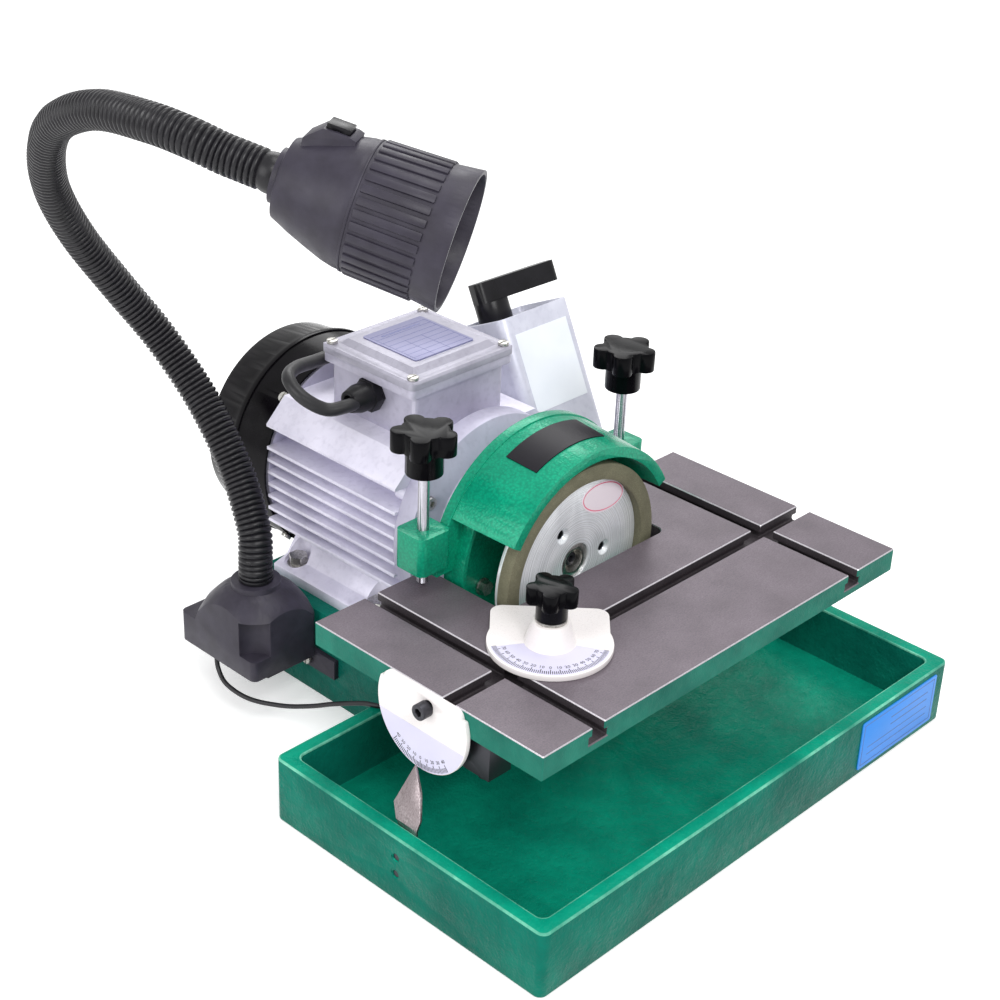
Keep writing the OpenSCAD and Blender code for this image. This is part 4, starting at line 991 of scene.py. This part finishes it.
@dataclass
class Table:
    """The slotted table, green on its sides, bare on top, with a painted highlight along its ground edges.

    Attributes:
        edge: Width of its rounded edges.
        edge_lean: Least and greatest Z of a ground edge's normal.
        skin: How deep a face may lie under the top and still be ground.
        screw_share: How wide the dial's cap screw shows, as a share of its solid.
        front: Where the front side's paint starts.
        back: Where the back side's paint starts.
    """

    edge: float = 0.7 * MM
    edge_lean: Pair = (0.3, 0.97)
    skin: float = 1.5 * MM
    screw_share: float = 0.82
    front: float = -79.5 * MM
    back: float = 106 * MM

    def build(self) -> None:
        """Rounds the table and gives each kind of face its finish."""
        table = dress(refine("table", "slotted_table", self.edge, 1, clamp=False), TABLE_IRON, "table")
        least, most = self.edge_lean
        ground = TABLE_TOP - self.skin
        recoat_faces(table, TABLE_SIDE_GREEN, lambda f: abs(f.normal.z) < least and self.outside(f.center))
        # Faces below the ground top, inside the slots, get a near-black iron
        recoat_faces(table, SLOT_IRON, lambda f: f.center.z < ground and not self.outside(f.center))
        # Ground chamfers near the top get the bright metal: bare metal with a painted highlight along the
        # edges
        recoat_faces(table, EDGE_GLINT_METAL, lambda f: least < f.normal.z < most and f.center.z > ground)

        screw = dress(refine("tilt_dial_screw", "dial_cap_screw", 0.4 * MM), BLACK_OXIDE, "table")
        slim = Matrix.Diagonal((1, self.screw_share, self.screw_share, 1))
        settle(screw, Matrix.Translation(PIVOT) @ slim @ Matrix.Translation(-PIVOT))

    def outside(self, at: Vector) -> bool:
        """Tells whether a point lies on the table's outer sides."""
        return abs(at.x) > TABLE_HALF - 0.5 * MM or not self.front < at.y < self.back


@dataclass
class Scale:
    """A printed degree scale on a flat plate: a tinted film, ticks and plain numbers.

    Attributes:
        name: What its pieces are named from.
        body: The body that it rides on.
        place: Its own frame: X right, Y up towards the pivot's far side, Z out of the plate.
        inner: Radius where the film starts, or 0 for a straight top edge.
        outer: Radius where it ends.
        half: Half of the angle that it takes in, in degrees.
        film_low: Height of the film's straight top edge under the pivot, for a film with no inner radius.
        step: Degrees between ticks.
        digit: Height of a number.
        film_t: Thickness of the film.
        ink_t: Thickness of a tick.
        tick: Width of a tick.
        short_tick: Its length.
        long_tick: Its length at the tens.
        margin: From the film's edge to the ticks.
    """

    name: str
    body: str
    place: Matrix
    inner: float
    outer: float
    half: float
    film_low: float = 0.0
    step: float = 2.0
    digit: float = 3.8 * MM
    film_t: float = 0.12 * MM
    ink_t: float = 0.1 * MM
    tick: float = 0.5 * MM
    short_tick: float = 3.2 * MM
    long_tick: float = 5.0 * MM
    margin: float = 0.8 * MM

    def film(self) -> None:
        """Lays the tinted film: a ring or a disc, cut to its part."""
        deselect_all()
        bpy.ops.mesh.primitive_cylinder_add(vertices=120, radius=self.outer, depth=self.film_t,
                                            location=(0, 0, self.film_t / 2))
        piece = bpy.context.object
        if self.inner:
            with editing(piece, lambda f: abs(f.normal.z) > 0.9):
                bpy.ops.mesh.inset(thickness=self.outer - self.inner)
                bpy.ops.mesh.bridge_edge_loops()
        across = math.radians(self.half)
        cuts = [((0, -self.film_low, 0), (0, 1, 0))]
        if self.inner:
            cuts = [((0, 0, 0), (side * math.cos(across), math.sin(across), 0)) for side in (1, -1)]
        for middle, normal in cuts:
            with editing(piece, lambda f: True):
                bpy.ops.mesh.bisect(plane_co=middle, plane_no=normal, use_fill=True, clear_outer=True)
        settle(piece, self.place)
        piece.name = self.name + "_film"
        dress(piece, SCALE_LILAC, self.body)

    def ticks(self) -> Piece:
        """Rules a tick and copies it round, with a longer one at each ten.

        Returns:
            The ticks, joined.
        """
        groups = []
        count = int(self.half / self.step)
        for length, every in ((self.short_tick, self.step), (self.long_tick, 10)):
            turns = [i * self.step for i in range(-count, count + 1) if i * self.step % every == 0]
            mark = block((self.tick, length, self.ink_t),
                         (0, -self.outer + self.margin + length / 2, self.film_t + 0.03 * MM))
            groups.append(spread(mark, [turned(turn, "Z") for turn in turns], "ticks"))
        return join_all(groups, self.name + "_ticks")

    def numbers(self) -> list[Piece]:
        """Prints the tens, upright to someone who faces the scale.

        Returns:
            One flat mesh for each number.
        """
        printed = []
        tens = int(self.half // 10) * 10
        for value in range(-tens, tens + 1, 10):
            deselect_all()
            bpy.ops.object.text_add(location=(0, 0, 0))
            word = bpy.context.object
            word.data.body, word.data.size = str(abs(value)), self.digit
            word.data.align_x, word.data.align_y = "CENTER", "CENTER"
            word.data.extrude, word.data.resolution_u = 0.04 * MM, 2
            bpy.ops.object.convert(target="MESH")
            shift = Matrix.Translation((0, -self.outer + self.margin + self.long_tick + self.digit * 0.6,
                                        self.film_t + 0.05 * MM))
            settle(bpy.context.object, turned(value, "Z") @ shift)
            printed.append(bpy.context.object)
        return printed

    def build(self) -> None:
        """Lays the film and prints on it."""
        self.film()
        printed = join_all([self.ticks(), *self.numbers()], self.name + "_print")
        settle(printed, self.place)
        dress(printed, SCALE_INK, self.body)


@dataclass
class Wheel:
    """The grinding wheel: a faced aluminium body, a grit rim and a bare oval sticker.

    Attributes:
        sticker: Middle of the sticker, along and up the body's face.
        sticker_size: Its length and height.
        sticker_turn: How far its long side is turned, in degrees.
        sticker_t: Its thickness.
        sticker_edge: Width of the white edge round its outline.
        outline: Width of the outline.
        holes: The least and the greatest radius at which the body's holes lie.
    """

    sticker: Pair = (0.0250, 0.1855)
    sticker_size: Pair = (45 * MM, 24 * MM)
    sticker_turn: float = -12.0
    sticker_t: float = 0.2 * MM
    sticker_edge: float = 1.1 * MM
    outline: float = 0.8 * MM
    holes: Pair = (24 * MM, 35 * MM)

    def build(self) -> None:
        """Dresses the wheel and lays the sticker on."""
        body = dress(refine("wheel_body", "wheel_face_body", 0.5 * MM), WHEEL_ALUMINIUM, "rotor")
        # Faces in the body's holes get the darker metal: painted shade in the recesses
        recoat_faces(body, HOLE_SHADE_METAL, self.in_hole)
        dress(refine("wheel_rim", "wheel_grit_rim", 0.5 * MM), WHEEL_GRIT, "rotor")
        self.oval()

    def in_hole(self, face: bpy.types.MeshPolygon) -> bool:
        """Tells whether a face lies in one of the three holes of the wheel's body."""
        reach = math.hypot(face.center.x, face.center.z - SPINDLE_Z)
        sunk = face.normal.y < -0.9 and face.center.y > WHEEL_FACE + 0.5 * MM
        return self.holes[0] < reach < self.holes[1] and (sunk or abs(face.normal.y) < 0.6)

    def oval(self) -> None:
        """Lays a bare oval sticker whose pink outline is inset into its face."""
        deselect_all()
        bpy.ops.mesh.primitive_cylinder_add(vertices=72, radius=0.5, depth=self.sticker_t)
        piece = bpy.context.object
        piece.name = "wheel_sticker"
        piece.scale = (*self.sticker_size, 1)
        settle(piece)
        dress(piece, STICKER_WHITE, "rotor")
        piece.data.materials.append(STICKER_PINK.material())
        with editing(piece, lambda f: f.normal.z > 0.9):
            for width, slot in ((self.sticker_edge, 1), (self.outline, 0)):
                bpy.ops.mesh.inset(thickness=width)
                piece.active_material_index = slot
                bpy.ops.object.material_slot_assign()
        proud = Matrix.Translation((self.sticker[0], WHEEL_FACE - self.sticker_t / 2, self.sticker[1]))
        settle(piece, proud @ turned(90, "X") @ turned(self.sticker_turn, "Z"))


@dataclass
class Motor:
    """The motor's printed plate on the terminal box's lid.

    Attributes:
        plate: Middle of the plate's top.
        plate_size: Its sides.
        rows: How many blank rows it is ruled into.
        rule: Width of a rule.
        heading: The blank heading's share of the form's width, and its height.
        columns: Where the column rules stand, as shares of the form's width from its middle.
        margin: What the ruled form leaves free of each of the plate's sides, both ends together.
    """

    plate: Triple = (0.0, 0.214, 0.2594)
    plate_size: Pair = (58 * MM, 56 * MM)
    rows: int = 8
    rule: float = 0.45 * MM
    heading: Pair = (0.7, 2.2 * MM)
    columns: Pair = (-0.2, 0.1)
    margin: float = 5 * MM

    def build(self) -> None:
        """Dresses the plate and rules it like a form with nothing filled in."""
        dress(refine("motor_nameplate", "lid_plate", 0.1 * MM), PLATE_PALE, "machine")
        wide, long = (side - self.margin for side in self.plate_size)
        pitch = long / self.rows
        bars = [((wide, self.rule), (0, long / 2 - i * pitch)) for i in range(self.rows + 1)]
        bars += [((self.rule, long), (side * wide / 2, 0)) for side in (-1, 1)]
        bars += [((self.rule, pitch * 5), (at * wide, -pitch * 1.5)) for at in self.columns]
        bars += [((wide * self.heading[0], self.heading[1]), (0, long / 2 - pitch * 0.5))]
        lines = rule_form(bars, self.plate, Vector((0, 1, 0)), "lid_plate_rules")
        dress(lines, PLATE_INK, "machine")


@dataclass
class Switch:
    """The bare film on the switch's front.

    Attributes:
        film: Middle of the film in the switch's own frame.
        film_size: Its width, thickness and height.
        soft: How wide its softened edges are.
    """

    film: Triple = (37.5 * MM, -0.05 * MM, 62 * MM)
    film_size: Triple = (56 * MM, 0.3 * MM, 62 * MM)
    soft: float = 0.12 * MM

    def build(self) -> None:
        """Lays the film and softens its edges."""
        piece = block(self.film_size, self.film)
        soften = piece.modifiers.new("softened", "BEVEL")
        soften.width, soften.segments = self.soft, 2
        bpy.ops.object.modifier_apply(modifier=soften.name)
        settle(piece, SWITCH_PLACE)
        piece.name = "switch_film"
        dress(piece, LABEL_WHITE, "machine")


@dataclass
class Hose:
    """The lamp's flexible neck: even corrugations along the neck's route.

    Attributes:
        pitch: From one corrugation to the next.
        crest: Outer radius.
        root: Radius in the grooves.
        wave: How far the wall stands out from groove to crest, step by step.
        route: Middle line from the base's collar, in millimetres.
        run_out: The last knots, by how far they lie before the head's collar, in millimetres.
    """

    pitch: float = 3.9 * MM
    crest: float = 12.5 * MM
    root: float = 11.0 * MM
    wave: tuple[float, ...] = (0.0, 0.6, 1.0, 1.0, 1.0, 0.6)
    route: tuple[Triple, ...] = (
        (0, 0, 3.3), (0, 0, 7), (0, 0, 11), (1, 1, 21), (4, 5, 34), (8, 17.6, 52.7), (11, 32, 71),
        (11.5, 52, 96.5), (10, 77, 123.5), (1, 104, 157), (-19, 121, 194), (-45, 127, 236),
        (-70, 115.5, 278), (-89, 89, 316), (-100, 56, 345), (-105, 7, 365), (-104, -42, 369.5),
        (-97, -72, 366), (-88, -91, 359.5))
    run_out: Triple = (22, 14, 5.8)

    def build(self) -> None:
        """Draws the line with a thickness that swells and narrows, and makes it a mesh."""
        knots = [NECK_FOOT + Vector(p) * MM for p in self.route]
        run = (NECK_END - knots[-1]).normalized()
        knots += [NECK_END - run * back * MM for back in self.run_out]
        line = smooth_line(knots)
        count = round(line_length(line) / self.pitch)
        points = even_line(line, count * len(self.wave))
        depth = self.crest - self.root
        radii = [self.root + depth * self.wave[i % len(self.wave)] for i in range(len(points))]
        piece = tube(points, radii, "corrugated_neck", 6)
        log.info("neck: %d corrugations", count)
        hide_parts("flexible_neck")
        dress(piece, HOSE_BLACK, "lamp_neck")


@dataclass
class LampHead:
    """The lamp's head with its ring of raised grips and the seam band before them.

    Attributes:
        grips: How many grips go round.
        grip: A grip's depth, width and length.
        start: How far along the head the grips start.
        radius: The shell's radius there.
        slope: How much wider the shell gets by the grips' end.
        band_length: Length of the seam band.
        band_wall: Its wall.
        band_proud: How far it stands out from the shell.
        band_gap: From its middle to the grips.
    """

    grips: int = 34
    grip: Triple = (2.2 * MM, 5.0 * MM, 41 * MM)
    start: float = 57.5 * MM
    radius: float = 39 * MM
    slope: float = 1.5 * MM
    band_length: float = 1.6 * MM
    band_wall: float = 1.2 * MM
    band_proud: float = 0.5 * MM
    band_gap: float = 2.4 * MM

    def build(self) -> None:
        """Dresses the head, raises the grips and sets the seam ring before them."""
        dress(refine("lamp_head", "lamp_shade", 0.8 * MM, 2), LAMP_BLACK, "lamp_head")
        lean = Matrix.Rotation(math.atan2(self.slope, self.grip[2]), 4, "Y")
        grip = block(self.grip, (0, 0, 0), 0.7 * MM)
        middle = (self.radius + self.slope / 2 + 0.1 * MM, 0, self.start + self.grip[2] / 2)
        grip.data.transform(Matrix.Translation(middle) @ lean)
        turns = [Matrix.Rotation(math.tau * i / self.grips, 4, "Z") for i in range(self.grips)]
        ring = spread(grip, turns, "shade_grips")
        settle(ring, HEAD_PLACE)
        dress(ring, LAMP_BLACK, "lamp_head")
        self.seam()

    def seam(self) -> None:
        """Sets the raised band where the shade's two mouldings meet."""
        deselect_all()
        bpy.ops.mesh.primitive_cylinder_add(vertices=96, radius=self.radius + self.band_proud,
                                            depth=self.band_length, end_fill_type="NOTHING",
                                            location=(0, 0, self.start - self.band_gap))
        band = bpy.context.object
        wall = band.modifiers.new("wall", "SOLIDIFY")
        wall.thickness, wall.offset = self.band_wall, -1
        bpy.ops.object.modifier_apply(modifier=wall.name)
        finish_edges(band, 0.35 * MM)
        settle(band, HEAD_PLACE)
        band.name = "shade_band"
        dress(band, LAMP_BLACK, "lamp_head")


# Pieces whose solids have their shape already, body by body: node, finish, rounded edges' width in mm
PLAIN_PIECES: tuple[tuple[str, tuple[tuple[str, Finish, float], ...]], ...] = (
    ("machine", (
        ("pedestal_bolts", BLACK_OXIDE, 0.4), ("pointer", STAINLESS, 0.2),
        ("pointer_screws", BLACK_OXIDE, 0.4), ("motor_foot", MOTOR_SILVER, 0.8),
        ("motor_foot_bolts", ZINC, 0.4), ("motor_housing", MOTOR_SILVER, 0.4),
        ("front_end_shield", SHIELD_SILVER, 1.0), ("front_shield_screws", ZINC, 0.3),
        ("rear_end_shield", SHIELD_SILVER, 0.8), ("stator", VARNISH, 0.0), ("bearings", STAINLESS, 0.3),
        ("fan_cover", COVER_BLACK, 0.5), ("fan_cover_screws", ZINC, 0.3),
        ("terminal_box", BOX_SILVER, 0.6), ("terminal_box_lid", LID_SHADE_SILVER, 0.5),
        ("terminal_lid_screws", ZINC, 0.3), ("cable_gland", HANDLE_BLACK, 0.4),
        ("guard_screws", ZINC, 0.4))),
    ("rotor", (
        ("rotor_shaft", STAINLESS, 0.3), ("rotor_core", LAMINATIONS, 0.0),
        ("cooling_fan", HANDLE_BLACK, 0.3), ("wheel_arbor", ZINC, 0.5),
        ("arbor_screw", BLACK_OXIDE, 0.3))),
    ("table", (
        ("pivot_shaft", STAINLESS, 0.5), ("pivot_caps", BLACK_OXIDE, 0.6),
        ("pivot_cap_screws", BLACK_OXIDE, 0.3), ("tilt_dial", SCALE_WHITE, 0.4))),
    ("left_screw", (("left_adjusting_screw", SCREW_STEEL, 0.0),)),
    ("right_screw", (("right_adjusting_screw", SCREW_STEEL, 0.0),)),
    ("left_knob", (("left_knob", KNOB_BLACK, 1.6),)),
    ("right_knob", (("right_knob", KNOB_BLACK, 1.6),)),
    ("fence_carriage", (("fence_t_bolt", ZINC, 0.4),)),
    ("protractor", (("protractor", SCALE_WHITE, 0.5),)),
    ("fence_knob", (("fence_knob", KNOB_BLACK, 1.4),)),
    ("machine", (
        ("switch_cover", SWITCH_SILVER, 0.8), ("switch_end_cap", SWITCH_SILVER, 0.5),
        ("switch_gland", HANDLE_BLACK, 0.4), ("switch_bracket_bolts", ZINC, 0.4))),
    ("switch_handle", (("switch_handle", HANDLE_BLACK, 1.5),)),
    ("machine", (
        ("lamp_bracket", LAMP_BLACK, 0.4), ("lamp_bracket_screws", ZINC, 0.3),
        ("lamp_base", LAMP_BLACK, 1.5))),
    ("lamp_neck", (("neck_ferrules", HOSE_BLACK, 0.3),)),
    ("lamp_rocker", (("lamp_rocker", HANDLE_BLACK, 0.6),)),
    ("lamp_head", (("lamp_bulb", BULB, 0.0),)),
)


def plain_pieces() -> None:
    """Rounds and finishes each piece whose solid already has its shape."""
    for body, pieces in PLAIN_PIECES:
        for node, finish, width in pieces:
            dress(refine(node, node + "_piece", width * MM), finish, body)


@dataclass
class Lead:
    """A lead between two housings: one smooth tube of a fixed length.

    Attributes:
        node: The CAD node that it stands for.
        diameter: Its diameter.
        route: The knots of its middle line, in millimetres, with Y from the pedestal's front.
        front: Y of the pedestal's front, in millimetres.
    """

    node: str
    diameter: float
    route: tuple[Triple, ...]
    front: float = 123.0

    def build(self) -> None:
        knots = [Vector((x, y + self.front, z)) * MM for x, y, z in self.route]
        line = smooth_line(knots, 12)
        length = line_length(line)
        points = even_line(line, max(60, round(length / (3 * MM))))
        piece = tube(points, [self.diameter / 2] * len(points), self.node + "_tube", 5)
        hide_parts(self.node)
        dress(piece, RUBBER, "machine")
        log.info("%s: %.3f m of lead", self.node, length)


# The same knots as in the part's source
SWITCH_LEAD = Lead("switch_lead", 9.9 * MM, (
    (-46, 90, 230), (-68, 90, 230), (-73, 90, 230), (-86, 97, 229), (-98, 108, 238), (-97, 124, 246),
    (-80, 137, 245), (-43, 152, 236), (0, 158, 233), (40, 159, 230), (74, 156, 218), (98, 149, 190),
    (114, 140, 155), (121, 121, 120), (122, 97, 105), (121.7, 71, 108), (121.5, 63.28, 125.15),
    (121.5, 65.91, 130.54), (121.5, 70.29, 139.53)))
LAMP_LEAD = Lead("lamp_lead", 3.5 * MM, (
    (-161, 135, 39.6), (-162, 132, 30), (-164, 120, 23), (-160, 99, 19), (-150, 74, 21), (-144, 50, 30),
    (-140, 30, 40), (-134, 6, 50), (-129, -8, 52.5), (-114, -9, 51.9), (-98, -8, 51.9), (-84, -9, 53),
    (-76, -9, 56), (-74, -5, 58), (-74, 6, 58)))


def scales() -> None:
    """Prints the protractor's scale and the tilt dial's."""
    flat = Matrix.Translation((STUD.x, STUD.y, PROTRACTOR_TOP)) @ turned(FENCE_TURN - 90, "Z")
    Scale("protractor", "protractor", flat, inner=17.4 * MM, outer=39.8 * MM, half=76).build()
    side = Matrix.Translation((DIAL_FACE, PIVOT.y, PIVOT.z)) @ turned(-90, "Z") @ turned(90, "X")
    Scale("tilt_dial", "table", side, inner=0.0, outer=39.4 * MM, half=40, film_low=10.5 * MM,
          digit=3.5 * MM).build()


def main() -> None:
    """Builds the stage and every sub-assembly."""
    logging.basicConfig(level=logging.INFO, format="%(name)s: %(message)s")
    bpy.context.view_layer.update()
    Stage().build()
    Castings().build()
    Table().build()
    Wheel().build()
    Motor().build()
    Switch().build()
    Hose().build()
    LampHead().build()
    plain_pieces()
    scales()
    SWITCH_LEAD.build()
    LAMP_LEAD.build()


if __name__ == "__main__":
    main()
